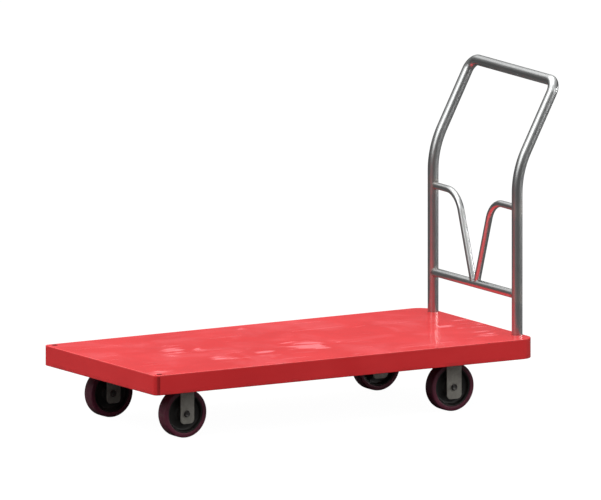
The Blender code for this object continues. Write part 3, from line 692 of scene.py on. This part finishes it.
def zinc_steel():
    """Zinc-plated pressings of the casters: spangle, dull patches and grime."""
    g = Graph("zinc_steel")
    spangle = g.add("ShaderNodeTexVoronoi", {"Vector": g.coordinates, "Scale": 150.0}).outputs["Color"]
    spangle = g.add("ShaderNodeSeparateXYZ", {0: spangle}).outputs[0]
    dull = g.noise(30.0, 4, 0.6, 0.4)
    g.base(g.mul(spangle, 0.5), (0.38, 0.365, 0.325), (0.50, 0.485, 0.44))
    g.cover(g.span(dull, 0.45, 0.75, 0.0, 0.50), (0.25, 0.235, 0.21))
    grime = g.span(g.noise(90.0, 5, 0.7), 0.60, 0.74)
    g.cover(g.mul(grime, 0.5), (0.09, 0.075, 0.06))
    g.feed("Metallic", 0.75)
    g.sheen(dull, 0.40, 0.56)
    g.duller(spangle, 0.06)
    g.bump(g.noise(500.0, 2, 0.5), 0.10, 0.0002)
    g.bump(grime, 0.15, 0.0003)


def bolt_steel():
    """Fasteners: darker plated steel, lighter and darker at random, with specks of rust."""
    g = Graph("bolt_steel")
    tone = g.noise(110.0, 4, 0.6, 0.5)
    g.tone(tone, (0.06, 0.056, 0.053), (0.15, 0.145, 0.14))
    rust = g.span(g.noise(170.0, 4, 0.65), 0.66, 0.74)
    g.cover(g.mul(rust, 0.6), (0.12, 0.055, 0.03))
    g.feed("Metallic", 0.9)
    g.sheen(tone, 0.34, 0.52)
    g.bump(g.noise(900.0, 2, 0.5), 0.10, 0.0002)


def tread_rubber():
    """Maroon tread: smooth sides, a scuffed and dusty rolling face."""
    g = Graph("tread_rubber")
    tone = g.noise(26.0, 4, 0.6, 0.5)
    g.tone(tone, (0.105, 0.014, 0.033), (0.148, 0.021, 0.048))
    _, ny, _ = g.facing()
    rolling = g.span(g.math("ABSOLUTE", ny), 0.75, 0.3)
    dust = g.mul(g.span(g.noise(75.0, 5, 0.65), 0.42, 0.70), rolling)
    g.cover(g.mul(dust, 0.45), (0.17, 0.10, 0.10))
    scuffs = g.span(g.noise(140.0, 3, 0.6, 0.8), 0.66, 0.70)
    g.cover(g.mul(scuffs, 0.4), (0.20, 0.085, 0.10))
    g.sheen(tone, 0.38, 0.50)
    g.duller(dust, 0.25)
    g.bump(g.noise(700.0, 3, 0.6), 0.12, 0.0003)
    g.bump(scuffs, -0.3, 0.0003)


def hub_plastic():
    """Charcoal moulding with fine grain, pale scuffs and a little dust."""
    g = Graph("hub_plastic")
    tone = g.noise(45.0, 4, 0.6, 0.3)
    g.tone(tone, (0.009, 0.008, 0.007), (0.018, 0.016, 0.014))
    dust = g.span(g.noise(120.0, 5, 0.65), 0.55, 0.75, 0.0, 0.3)
    g.cover(dust, (0.045, 0.038, 0.030))
    g.sheen(tone, 0.40, 0.58)
    g.bump(g.noise(800.0, 2, 0.6), 0.15, 0.0003)


def bearing_steel():
    """Ground steel with turned lines and a film of grease."""
    g = Graph("bearing_steel")
    lines = g.noise(700.0, 2, 0.5)
    grease = g.noise(60.0, 4, 0.6, 0.6)
    g.tone(lines, (0.42, 0.42, 0.42), (0.55, 0.55, 0.56))
    g.cover(g.span(grease, 0.50, 0.70, 0.0, 0.6), (0.10, 0.085, 0.05))
    g.feed("Metallic", 1.0)
    g.sheen(grease, 0.22, 0.40)
    g.bump(lines, 0.06, 0.0001)


def weld_steel():
    """Weld beads: brushed metal with straw and blue heat colours."""
    g = Graph("weld_steel")
    tone = g.noise(260.0, 3, 0.6, 0.4)
    g.tone(tone, (0.22, 0.20, 0.19), (0.42, 0.40, 0.38))
    heat = g.noise(90.0, 3, 0.6)
    g.cover(g.span(heat, 0.52, 0.70, 0.0, 0.6), (0.14, 0.12, 0.16))
    g.feed("Metallic", 1.0)
    g.sheen(tone, 0.30, 0.50)
    g.bump(tone, 0.25, 0.0003)


PATCH_TURN = radians(-31)
# centre from the deck's middle, half length and half width, strength
RUBBED_PATCHES = (
    ((-0.355, 0.030), (0.07, 0.20), 1.0),
    ((-0.280, 0.005), (0.06, 0.07), 0.9),
    ((-0.295, -0.135), (0.09, 0.12), 1.0),
    ((-0.190, -0.065), (0.13, 0.07), 0.8),
    ((-0.160, -0.145), (0.07, 0.11), 1.0),
    ((0.000, -0.085), (0.13, 0.20), 1.1),
    ((0.110, -0.055), (0.07, 0.06), 0.8),
    ((0.055, -0.270), (0.07, 0.07), 0.7),
    ((-0.590, -0.040), (0.07, 0.07), 0.9),
    ((-0.565, -0.265), (0.08, 0.10), 1.0),
    ((-0.020, 0.235), (0.05, 0.07), 0.9),
    ((0.335, 0.040), (0.06, 0.06), 0.7),
    ((0.490, 0.005), (0.09, 0.07), 1.0),
    ((0.580, -0.010), (0.09, 0.22), 0.9),
    ((0.525, -0.170), (0.07, 0.12), 0.9),
)

for make_material in (deck_paint, frame_paint, satin_steel, zinc_steel, bolt_steel, tread_rubber,
                      hub_plastic, bearing_steel, weld_steel):
    make_material()


def piece(name, mesh, slot, body="root", replaces=(), finish=None, even=False):
    """Show a mesh as a piece of the truck that rides a body and takes its finish from a slot."""
    own = mesh.copy()
    own.name = name
    own.materials.clear()
    own.materials.append(MATERIALS[finish or slot])
    shown = put_in_scene(name, own)
    if even:
        normals = shown.modifiers.new("even_normals", "WEIGHTED_NORMAL")
        normals.keep_sharp = True
        normals.weight = 100
    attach(shown, body)
    if replaces:
        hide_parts(*replaces)
    return shown


# ---- Deck ----

def deck_shell():
    """The pressed pan: a rounded plan outline carried round the sheet's section."""
    bend_steps = 6
    hem = 0.0012
    section = []
    for k in range(bend_steps + 1):
        angle = pi / 2 * k / bend_steps
        section.append((EDGE_RADIUS * (1 - sin(angle)), DECK_TOP - EDGE_RADIUS * (1 - cos(angle))))
    seam_low = len(section)
    section += [(0.0, DECK_TOP - 0.0062), (0.0, FLANGE_BOTTOM + hem * 1.5),
                (hem * 0.3, FLANGE_BOTTOM + hem * 0.5), (hem, FLANGE_BOTTOM)]
    seam_high = len(section)
    section += [(LIP_WIDTH, FLANGE_BOTTOM), (LIP_WIDTH, FLANGE_BOTTOM + DECK_SHEET),
                (DECK_SHEET, FLANGE_BOTTOM + DECK_SHEET), (DECK_SHEET, DECK_TOP - EDGE_RADIUS),
                (EDGE_RADIUS, DECK_TOP - DECK_SHEET)]
    rings = []
    for number, (inset, z) in enumerate(section):
        dip = SEAM_DEPTH if seam_low <= number < seam_high else 0.0
        outline = deck_corner(-1, 1, inset, dip) + deck_corner(-1, -1, inset, dip)[::-1]
        outline += deck_corner(1, -1, inset, dip) + deck_corner(1, 1, inset, dip)[::-1]
        rings.append([Vector((x, y, z)) for x, y in outline])
    return loft(rings, angle=50)


def deck_corner(end, side, inset, dip):
    """Plan arc of one corner, from its side to its end; a front one starts with the dip of its closed seam."""
    steps = 18
    radius = FRONT_CORNER_RADIUS if end < 0 else REAR_CORNER_RADIUS
    centre_x = (DECK_FRONT if end < 0 else DECK_REAR) - end * radius
    centre_y = side * (HALF_WIDTH - radius)
    seam = SEAM_WIDTH / radius
    turns = [0.0, seam / 2, seam] + [seam + (pi / 2 - seam) * (k + 1) / steps for k in range(steps)]
    points = []
    for number, turn in enumerate(turns):
        reach = radius - inset - (dip if end < 0 and number == 1 else 0.0)
        points.append((centre_x + end * reach * sin(turn), centre_y + side * reach * cos(turn)))
    return points


def deck_cutters():
    cutters = []
    for _, side in SIDES:
        corner = (DECK_FRONT + CORNER_HOLE_FROM_END, side * (HALF_WIDTH - CORNER_HOLE_FROM_SIDE), DECK_TOP)
        cutters.append(moved(lathe(((CORNER_HOLE_RADIUS, -0.01), (CORNER_HOLE_RADIUS, 0.01)), 40), corner))
        clear = TUBE_RADIUS + 0.0005
        foot = (HANDLE_X, side * HALF_SPACING, DECK_TOP)
        cutters.append(moved(lathe(((clear, -0.01), (clear, -0.0009), (clear + 0.0010, 0.0001),
                                    (clear + 0.0010, 0.01)), 48), foot))
    return cutters


def build_deck():
    pan = combine(deck_shell(), deck_cutters(), "DIFFERENCE")
    pan.shade_smooth()
    pan.set_sharp_from_angle(angle=radians(40))
    replaced = ["deck_plate", "deck_flange_front", "deck_flange_rear", "deck_flange_left", "deck_flange_right"]
    piece("deck_pan_pressed", pan, "deck_paint", replaces=replaced, even=True)

    for node, (web, sheet, along, _) in MEMBERS:
        low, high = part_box(node)
        centre = (low[1 - along] + high[1 - along]) / 2
        section = hat_section(web, high.z - low.z, MEMBER_LIP, sheet)
        outline = [(centre + across, high.z + z) for across, z in section]
        shape = extrude(outline, low[along], high[along], along)
        piece(node + "_pressed", shape, "frame_paint", replaces=[node], even=True)
    build_spot_welds()


def hat_section(web, drop, lip, sheet):
    """Hat channel hanging from z = 0, its four bends rounded inside and out."""
    half = web / 2
    inner, outer = 0.0016, 0.0016 + sheet
    corners = [(half + lip, 0.0), (half + lip, -sheet), (half, -sheet), (half, -drop), (-half, -drop),
               (-half, -sheet), (-half - lip, -sheet), (-half - lip, 0.0),
               (-half + sheet, 0.0), (-half + sheet, -drop + sheet), (half - sheet, -drop + sheet),
               (half - sheet, 0.0)]
    radii = [0.0004, 0.0004, inner, outer, outer, inner, 0.0004, 0.0004, outer, inner, inner, outer]
    return filleted(corners, radii)


def build_spot_welds():
    """Round electrode marks along the channels' and ribs' lips, where they are fixed to the deck."""
    button = lathe(((0.0001, -0.0007), (0.0018, -0.0006), (0.0026, -0.0001), (0.0030, 0.0004)), 20)
    marks = []

    def mark_lips(low, high, member):
        _, sheet, along, margin = member
        run = high[along] - low[along] - 2 * margin
        count = int(run / WELD_PITCH)
        for n in range(count + 1):
            for edge in (low[1 - along] + MEMBER_LIP / 2, high[1 - along] - MEMBER_LIP / 2):
                spot = [edge, high.z - sheet]
                spot.insert(along, low[along] + margin + run * n / count)
                marks.append(moved(button, spot))

    for end in ("front", "rear"):
        low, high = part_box("cross_channel_" + end)
        mark_lips(low, high, CHANNEL)
    for name, _ in SIDES:
        low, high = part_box("stiffener_" + name)
        mark_lips(low, high, RIB)
    piece("spot_welds", joined(marks), "frame_paint")


# ---- Handle ----

def handle_path():
    """Centre line of the bent tube: up from the left foot, over the top bar, down to the right foot."""
    knee_steps, corner_steps = 14, 12
    rise = KNEE_RADIUS * tan(LEAN_ANGLE / 2)
    knee = Vector((HANDLE_X, 0, KNEE_Z))
    lean = Vector((sin(LEAN_ANGLE), 0, cos(LEAN_ANGLE)))
    one_side = [(Vector((HANDLE_X, 0, HANDLE_FOOT)), HALF_SPACING)]
    for k in range(knee_steps + 1):
        angle = LEAN_ANGLE * k / knee_steps
        point = Vector((HANDLE_X + KNEE_RADIUS * (1 - cos(angle)), 0, knee.z - rise + KNEE_RADIUS * sin(angle)))
        one_side.append((point, HALF_SPACING))
    for k in range(corner_steps + 1):
        angle = pi / 2 * k / corner_steps
        along = LEAN_LENGTH - TOP_CORNER_RADIUS * (1 - sin(angle))
        one_side.append((knee + along * lean, HALF_SPACING - TOP_CORNER_RADIUS * (1 - cos(angle))))
    left = [point - Vector((0, offset, 0)) for point, offset in one_side]
    right_side = [point + Vector((0, offset, 0)) for point, offset in one_side]
    return left + right_side[::-1]


def brace_path(side):
    """Centre line of one brace: in from the upright, round its bend and down into the crossbar."""
    steps = 20
    turn = pi / 2 - BRACE_ANGLE
    foot = Vector((HANDLE_X, BRACE_FOOT_OFFSET, CROSSBAR_Z))
    corner = foot + Vector((0, tan(BRACE_ANGLE), 1)) * (BRACE_Z - CROSSBAR_Z)
    centre = corner + Vector((0, BRACE_BEND_RADIUS * tan(turn / 2), -BRACE_BEND_RADIUS))
    path = [Vector((HANDLE_X, HALF_SPACING - TUBE_RADIUS * 0.6, BRACE_Z))]
    for k in range(steps + 1):
        angle = turn * k / steps
        path.append(centre + BRACE_BEND_RADIUS * Vector((0, -sin(angle), cos(angle))))
    path.append(foot + Vector((0, tan(BRACE_ANGLE), 1)) * CROSSBAR_RADIUS * 0.5)
    return [Vector((point.x, side * point.y, point.z)) for point in path]


def build_handle():
    piece("handle_tube_bent", tube(handle_path(), TUBE_RADIUS, 48, TUBE_RADIUS - TUBE_WALL), "handle_steel",
          replaces=["handle_tube"])
    reach = HALF_SPACING - TUBE_RADIUS * 0.6
    ends = [Vector((HANDLE_X, y, CROSSBAR_Z)) for y in (-reach, reach)]
    piece("handle_crossbar_tube", tube(ends, CROSSBAR_RADIUS, 40), "handle_steel", replaces=["handle_crossbar"])
    beads = []
    for name, side in SIDES:
        path = brace_path(side)
        piece("handle_brace_" + name + "_tube", tube(path, BRACE_RADIUS, 36), "handle_steel",
              replaces=["handle_brace_" + name])
        upright = Vector((HANDLE_X, side * HALF_SPACING, 0))
        outward = Vector((0, side, 0))
        for z, radius in ((CROSSBAR_Z, CROSSBAR_RADIUS), (BRACE_Z, BRACE_RADIUS)):
            start = Vector((HANDLE_X, 0, z))
            beads.append(weld_bead(start, outward, radius, upright, Vector((0, 0, 1)), TUBE_RADIUS))
        foot = path[-1]
        beads.append(weld_bead(path[-2], foot - path[-2], BRACE_RADIUS, Vector((HANDLE_X, 0, CROSSBAR_Z)),
                               Vector((0, 1, 0)), CROSSBAR_RADIUS, bead=0.0014, ripples=20))
    piece("handle_weld_beads", joined(beads), "handle_steel", finish="weld_steel")

    for name, side in SIDES:
        for level in ("lower", "upper"):
            node = "handle_bolt_" + name + "_" + level
            low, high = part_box(node)
            height = (low.z + high.z) / 2
            seat = shift(DECK_REAR + 0.0003, side * HALF_SPACING, height) @ TO_PLUS_X
            shape = hex_bolt(HANDLE_HEX_RADIUS, 0.0046, 0.0040, 0.043, 0.0085, 0.0016)
            piece(node + "_head", placed(shape, seat), "bolt_steel", replaces=[node])
            node = "handle_nut_" + name + "_" + level
            low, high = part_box(node)
            seat = shift(high.x, side * HALF_SPACING, height) @ TO_PLUS_X.inverted()
            shape = hex_nut(HANDLE_HEX_RADIUS, 0.0065, 0.0041, collar=0.0016)
            piece(node + "_locked", placed(shape, seat), "bolt_steel", replaces=[node])


# ---- Casters; local frame: origin on the axle at the wheel's middle ----

LEG_FRONTS = {"rigid": 0.0190, "swivel": 0.0222}
LEG_REAR = 0.0243
LEG_BOTTOMS = {"rigid": 0.0281, "swivel": 0.0327}
LEG_FLARE_START = 0.0582


def leg_outline(kind, flare_front, flare_rear, top):
    """Side view of a fork leg: a strap with rounded lower corners that widens to its crown."""
    front, bottom = LEG_FRONTS[kind], LEG_BOTTOMS[kind]
    flare_end = LEG_FLARE_START + 0.013
    corners = [(-front, -bottom), (LEG_REAR, -bottom), (LEG_REAR, LEG_FLARE_START),
               (flare_rear, flare_end), (flare_rear, top + 0.01), (-flare_front, top + 0.01)]
    radii = [0.0125, 0.0125, 0.008, 0.004, 0, 0]
    if flare_front > front:
        corners += [(-flare_front, flare_end), (-front, LEG_FLARE_START)]
        radii += [0.004, 0.008]
    return filleted(corners, radii, steps=8)


def bent_strap(start, end, top):
    """An upside-down U of sheet along X, its two bends rounded."""
    thick = FORK_OUTER - FORK_INNER
    outer = [(-FORK_OUTER, -0.05), (-FORK_OUTER, top), (FORK_OUTER, top), (FORK_OUTER, -0.05)]
    inner = [(FORK_INNER, -0.05), (FORK_INNER, top - thick), (-FORK_INNER, top - thick), (-FORK_INNER, -0.05)]
    outline = filleted(outer + inner, [0, 0.0060, 0.0060, 0, 0, 0.0020, 0.0020, 0], steps=6)
    return extrude(outline, start, end, ALONG_X)


def axle_hole():
    return placed(lathe(((0.0054, -0.03), (0.0054, 0.03)), 32), TO_MINUS_Y)


def rigid_fork():
    top = PLATE_BOTTOM - 0.0003 - WHEEL_RADIUS
    reach = 0.030
    strap = bent_strap(-reach - 0.005, reach + 0.005, top)
    legs = extrude(leg_outline("rigid", reach, reach, top), -0.05, 0.05, ALONG_Y)
    shape = combine(strap, [legs], "INTERSECT")
    shape = combine(shape, [axle_hole()], "DIFFERENCE")
    return softened(shape, 0.0005)


def swivel_fork():
    top = SWIVEL_CROWN_TOP - WHEEL_RADIUS
    race_top = RACE_TOP - WHEEL_RADIUS
    reach = SWIVEL_TRAIL + 0.020
    outline = leg_outline("swivel", LEG_FRONTS["swivel"], reach, top)
    strap = bent_strap(-0.03, reach + 0.01, top)
    shape = combine(strap, [extrude(outline, -0.05, 0.05, ALONG_Y)], "INTERSECT")
    shape = softened(combine(shape, [axle_hole()], "DIFFERENCE"), 0.0005)
    low = top - 0.0034
    race = lathe(((0.0190, low), (0.0274, low), (0.0274, race_top - 0.0034), (0.0266, race_top - 0.0012),
                  (0.0246, race_top), (0.0225, race_top - 0.0008), (0.0212, race_top - 0.0011),
                  (0.0198, race_top - 0.0008), (0.0180, race_top), (0.0068, race_top),
                  (0.0068, race_top - 0.0070), (0.0190, race_top - 0.0070)), 64, closed=True)
    return joined([shape, moved(race, (SWIVEL_TRAIL, 0, 0))])


def top_plate():
    """Mounting plate with eased edges; z = 0 is its upper face."""
    outline = rounded_rectangle(0.105, 0.087, 0.008, steps=8)
    return softened(extrude(outline, PLATE_BOTTOM - PLATE_TOP, 0.0, ALONG_Z), 0.0006)


def plate_bolts():
    """Four bolts up through the plate's corners; z = 0 is the plate's upper face."""
    washer = ring_washer(0.0042, 0.0085, 0.0, WASHER_THICKNESS)
    bolt = hex_bolt(PLATE_HEX_RADIUS, 0.0050, PLATE_SHANK_RADIUS, 0.0165)
    nut = hex_nut(PLATE_HEX_RADIUS, 0.0065, PLATE_SHANK_RADIUS, collar=0.0014)
    shapes = []
    for step_x in (-0.040, 0.040):
        for step_y in (-0.031, 0.031):
            under = shift(step_x, step_y, PLATE_BOTTOM - PLATE_TOP) @ Matrix.Rotation(pi, 4, "X")
            chance = spin(step_x * 13 + step_y * 29)
            shapes.append(placed(washer, under))
            shapes.append(placed(bolt, under @ shift(0, 0, WASHER_THICKNESS) @ chance))
            shapes.append(placed(nut, shift(step_x, step_y, 0.0031) @ chance))
    return joined(shapes)


def fork_weld():
    """Two fillet runs where the rigid fork's crown meets its plate; z = 0 is the plate's lower face."""
    runs = []
    for side in (-1, 1):
        rings = []
        count = 44
        for k in range(count + 1):
            x = -0.026 + 0.052 * k / count
            size = 0.0023 * (1 + 0.10 * cos(2 * pi * k / 4)) * (0.35 if k in (0, count) else 1.0)
            rings.append([Vector((x, side * (FORK_OUTER - 0.0028) + size * cos(2 * pi * n / 10),
                                  -0.0012 + size * sin(2 * pi * n / 10))) for n in range(10)])
        runs.append(loft(rings, angle=80))
    return joined(runs)


def tread():
    """Tread ring with rounded shoulders, a slight crown and a moulding line."""
    shoulder = 0.0036
    half = [(TREAD_BORE, WHEEL_HALF_WIDTH - 0.0010), (TREAD_BORE + 0.0004, WHEEL_HALF_WIDTH - 0.0004),
            (TREAD_BORE + 0.0012, WHEEL_HALF_WIDTH), (WHEEL_RADIUS - shoulder - 0.0040, WHEEL_HALF_WIDTH)]
    half += arc((WHEEL_RADIUS - 0.0002 - shoulder, WHEEL_HALF_WIDTH - shoulder), shoulder, 90, 8, 9)
    half += [(WHEEL_RADIUS - 0.00005, 0.0070), (WHEEL_RADIUS, 0.0020), (WHEEL_RADIUS, 0.00035)]
    profile = [(radius, -z) for radius, z in half] + half[::-1]
    return placed(lathe(profile, 96, closed=True, angle=50), TO_MINUS_Y)


def hub():
    """Moulded wheel centre: a rim with a lip, a dished web and a long boss."""
    half = [(TREAD_BORE, 0.0164), (0.0538, 0.0172), (0.0520, 0.0172), (0.0509, 0.0164),
            (0.0500, 0.0112), (0.0487, 0.0078), (0.0462, 0.0060), (0.0430, 0.0052), (0.0270, 0.0050),
            (0.0232, 0.0058), (0.0208, 0.0084), (0.0192, 0.0150), (0.0184, 0.0174), (0.0172, 0.0180),
            (0.0118, 0.0180), (0.0112, 0.0174)]
    profile = half + [(radius, -z) for radius, z in reversed(half)]
    return placed(lathe(profile, 96, closed=True, angle=50), TO_MINUS_Y)


def bushing():
    profile = ((0.0082, -0.0175), (0.0102, -0.0175), (0.0106, -0.0171), (0.0106, 0.0171), (0.0102, 0.0175),
               (0.0082, 0.0175))
    return placed(lathe(profile, 48, closed=True), TO_MINUS_Y)


def axle_bolt():
    """Flanged bolt across the fork with its head on the -Y side."""
    seat = FORK_OUTER + 0.0003
    shape = hex_bolt(AXLE_HEX_RADIUS, 0.0038, 0.0050, 2 * seat + 0.0095, AXLE_FLANGE_RADIUS, AXLE_FLANGE_HEIGHT,
                     dish=0.0007)
    return placed(shape, shift(0, -seat, 0) @ TO_MINUS_Y @ spin(radians(12)))


def axle_nut():
    seat = FORK_OUTER + 0.0003
    shape = hex_nut(AXLE_HEX_RADIUS, 0.0080, 0.0051, AXLE_FLANGE_RADIUS, AXLE_FLANGE_HEIGHT, collar=0.0018)
    return placed(shape, shift(0, seat, 0) @ TO_PLUS_Y @ spin(radians(7)))


def axle_washers():
    """A thrust washer inside each leg and a plain one outside it, under the bolt head or the nut."""
    shapes = []
    for matrix in (TO_MINUS_Y, TO_PLUS_Y):
        shapes.append(placed(ring_washer(0.0082, 0.0150, 0.0184, 0.0198), matrix))
        low = FORK_OUTER + 0.0001
        shapes.append(placed(ring_washer(0.0098, 0.0122, low, low + WASHER_THICKNESS), matrix))
    return joined(shapes)


def build_casters():
    forks = {"rigid": rigid_fork(), "swivel": swivel_fork()}
    tread_mesh, hub_mesh, bushing_mesh = tread(), hub(), bushing()
    bolt_mesh, nut_mesh, washer_mesh = axle_bolt(), axle_nut(), axle_washers()
    plate_mesh, plate_bolt_mesh, weld_mesh = top_plate(), plate_bolts(), fork_weld()
    for kind in KINDS:
        for name, _ in SIDES:
            prefix = kind + "_" + name
            carrier = "root" if kind == "rigid" else prefix + "_caster"
            axle = middle(prefix + "_tread")
            piece(prefix + "_fork_pressed", moved(forks[kind], axle), "zinc_steel", carrier,
                  [prefix + "_fork"], even=True)
            for node, ending, mesh, slot in (("_axle_bolt", "_head", bolt_mesh, "bolt_steel"),
                                             ("_axle_nut", "_locked", nut_mesh, "bolt_steel")):
                piece(prefix + node + ending, moved(mesh, axle), slot, carrier, [prefix + node])
            piece(prefix + "_axle_washers", moved(washer_mesh, axle), "zinc_steel", carrier)
            for node, shown, mesh, slot in (("_tread", "_tread_ring", tread_mesh, "tread_rubber"),
                                            ("_hub", "_hub_ribbed", hub_mesh, "hub_plastic"),
                                            ("_bearing", "_bushing", bushing_mesh, "bearing_steel")):
                piece(prefix + shown, moved(mesh, axle), slot, prefix + "_wheel", [prefix + node])
            plate = middle(prefix + "_top_plate")
            plate.z = PLATE_TOP
            piece(prefix + "_plate_eased", moved(plate_mesh, plate), "zinc_steel",
                  replaces=[prefix + "_top_plate"])
            piece(prefix + "_plate_bolts", moved(plate_bolt_mesh, plate), "bolt_steel")
            if kind == "rigid":
                piece(prefix + "_fork_weld", moved(weld_mesh, (plate.x, plate.y, PLATE_BOTTOM)), "zinc_steel",
                      finish="weld_steel")
            else:
                cup = lathe(((0.0287, -0.0190), (0.0306, -0.0190), (0.0312, -0.0184), (0.0312, -0.0060),
                             (0.0306, -0.0043), (0.0287, -0.0043)), 64, closed=True)
                piece(prefix + "_guard_ring", moved(cup, plate), "zinc_steel")


def finish_kept_nodes():
    """CAD nodes that stay in view take the procedural materials."""
    looks = {"kingpin_nut": "bolt_steel", "kingpin": "bolt_steel", "ball_bearing": "bearing_steel",
             "axle_sleeve": "zinc_steel"}
    for name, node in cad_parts.items():
        for ending, slot in looks.items():
            if name.endswith(ending):
                for material_slot in node.material_slots:
                    material_slot.material = MATERIALS[slot]
                break


# ---- Studio ----

def area_light(name, location, target, size, energy):
    data = bpy.data.lights.new(name, "AREA")
    data.shape = "RECTANGLE"
    data.size, data.size_y = size
    data.energy = energy
    light = put_in_scene(name, data)
    light.location = location
    light.rotation_euler = (Vector(location) - Vector(target)).to_track_quat("Z", "Y").to_euler()


def build_studio():
    scene = bpy.context.scene
    scene.view_settings.view_transform = "Standard"

    world = bpy.data.worlds.new("studio")
    scene.world = world
    g = Tree(world)
    g.nodes.clear()
    direction = g.add("ShaderNodeTexCoord", {}).outputs["Generated"]
    height = g.add("ShaderNodeSeparateXYZ", {0: direction}).outputs[2]
    rise = g.add("ShaderNodeMapRange", {"Value": height, "From Min": -1.0}).outputs[0]
    ramp = g.add("ShaderNodeValToRGB", {0: rise})
    ramp.color_ramp.interpolation = "EASE"
    stops = ((0.0, 0.11), (0.50, 0.11), (0.585, 0.15), (0.70, 0.20), (0.78, 1.60), (0.86, 1.15),
             (1.0, 0.95))
    elements = ramp.color_ramp.elements
    while len(elements) < len(stops):
        elements.new(0.5)
    for element, (position, level) in zip(elements, stops):
        element.position = position
        element.color = (level, level, level, 1.0)
    # the sky fades towards the handle end's side of the room
    sideways = g.add("ShaderNodeVectorMath", {0: direction, 1: right}, operation="DOT_PRODUCT")
    fade = g.add("ShaderNodeMapRange", {"Value": sideways.outputs["Value"], "From Min": 0.25, "From Max": 0.80,
                                        "To Min": 1.0, "To Max": 0.40}, interpolation_type="SMOOTHSTEP")
    soft = g.add("ShaderNodeBackground", {0: ramp.outputs[0], 1: fade.outputs[0]}).outputs[0]
    paper = g.add("ShaderNodeBackground", {0: (1, 1, 1, 1)}).outputs[0]
    g.split_view(paper, soft, "ShaderNodeOutputWorld")

    floor_mesh = loft([[Vector((x, y, z)) for x, y in ((-9, -9), (9, -9), (9, 9), (-9, 9))]
                       for z in (-0.02, -0.0002)])
    floor = put_in_scene("floor", floor_mesh)
    floor_mesh.materials.append(floor_material())

    for name, location, size, energy in (
            ("key", (-2.6, -0.9, 2.6), (2.8, 3.0), 50),
            ("side", (1.9, -3.0, 1.7), (1.8, 1.5), 15),
            ("rim", (3.2, -0.95, 0.80), (0.4, 0.7), 18),
            ("strip", (1.8, -1.8, 0.8), (0.25, 1.0), 2.2),
            ("top", (0.2, 0.4, 3.2), (2.6, 2.6), 60)):
        area_light(name, location, Vector((0, 0, 0.3)), size, energy)


def floor_material():
    """Pale sweep: nearly white to the eye with a faint contact shadow, greyer to the light that bounces."""
    material = bpy.data.materials.new("floor_paper")
    g = Tree(material)
    g.nodes.clear()
    glow = g.add("ShaderNodeEmission", {0: (1, 1, 1, 1), 1: 0.98}).outputs[0]
    catch = g.add("ShaderNodeBsdfDiffuse", {0: (0.07, 0.07, 0.07, 1)}).outputs[0]
    sight = g.add("ShaderNodeAddShader", {0: glow, 1: catch}).outputs[0]
    bounce = g.add("ShaderNodeBsdfDiffuse", {0: (0.11, 0.11, 0.11, 1)}).outputs[0]
    g.split_view(sight, bounce, "ShaderNodeOutputMaterial")
    return material


build_deck()
build_handle()
build_casters()
finish_kept_nodes()
build_studio()

bpy.context.view_layer.update()
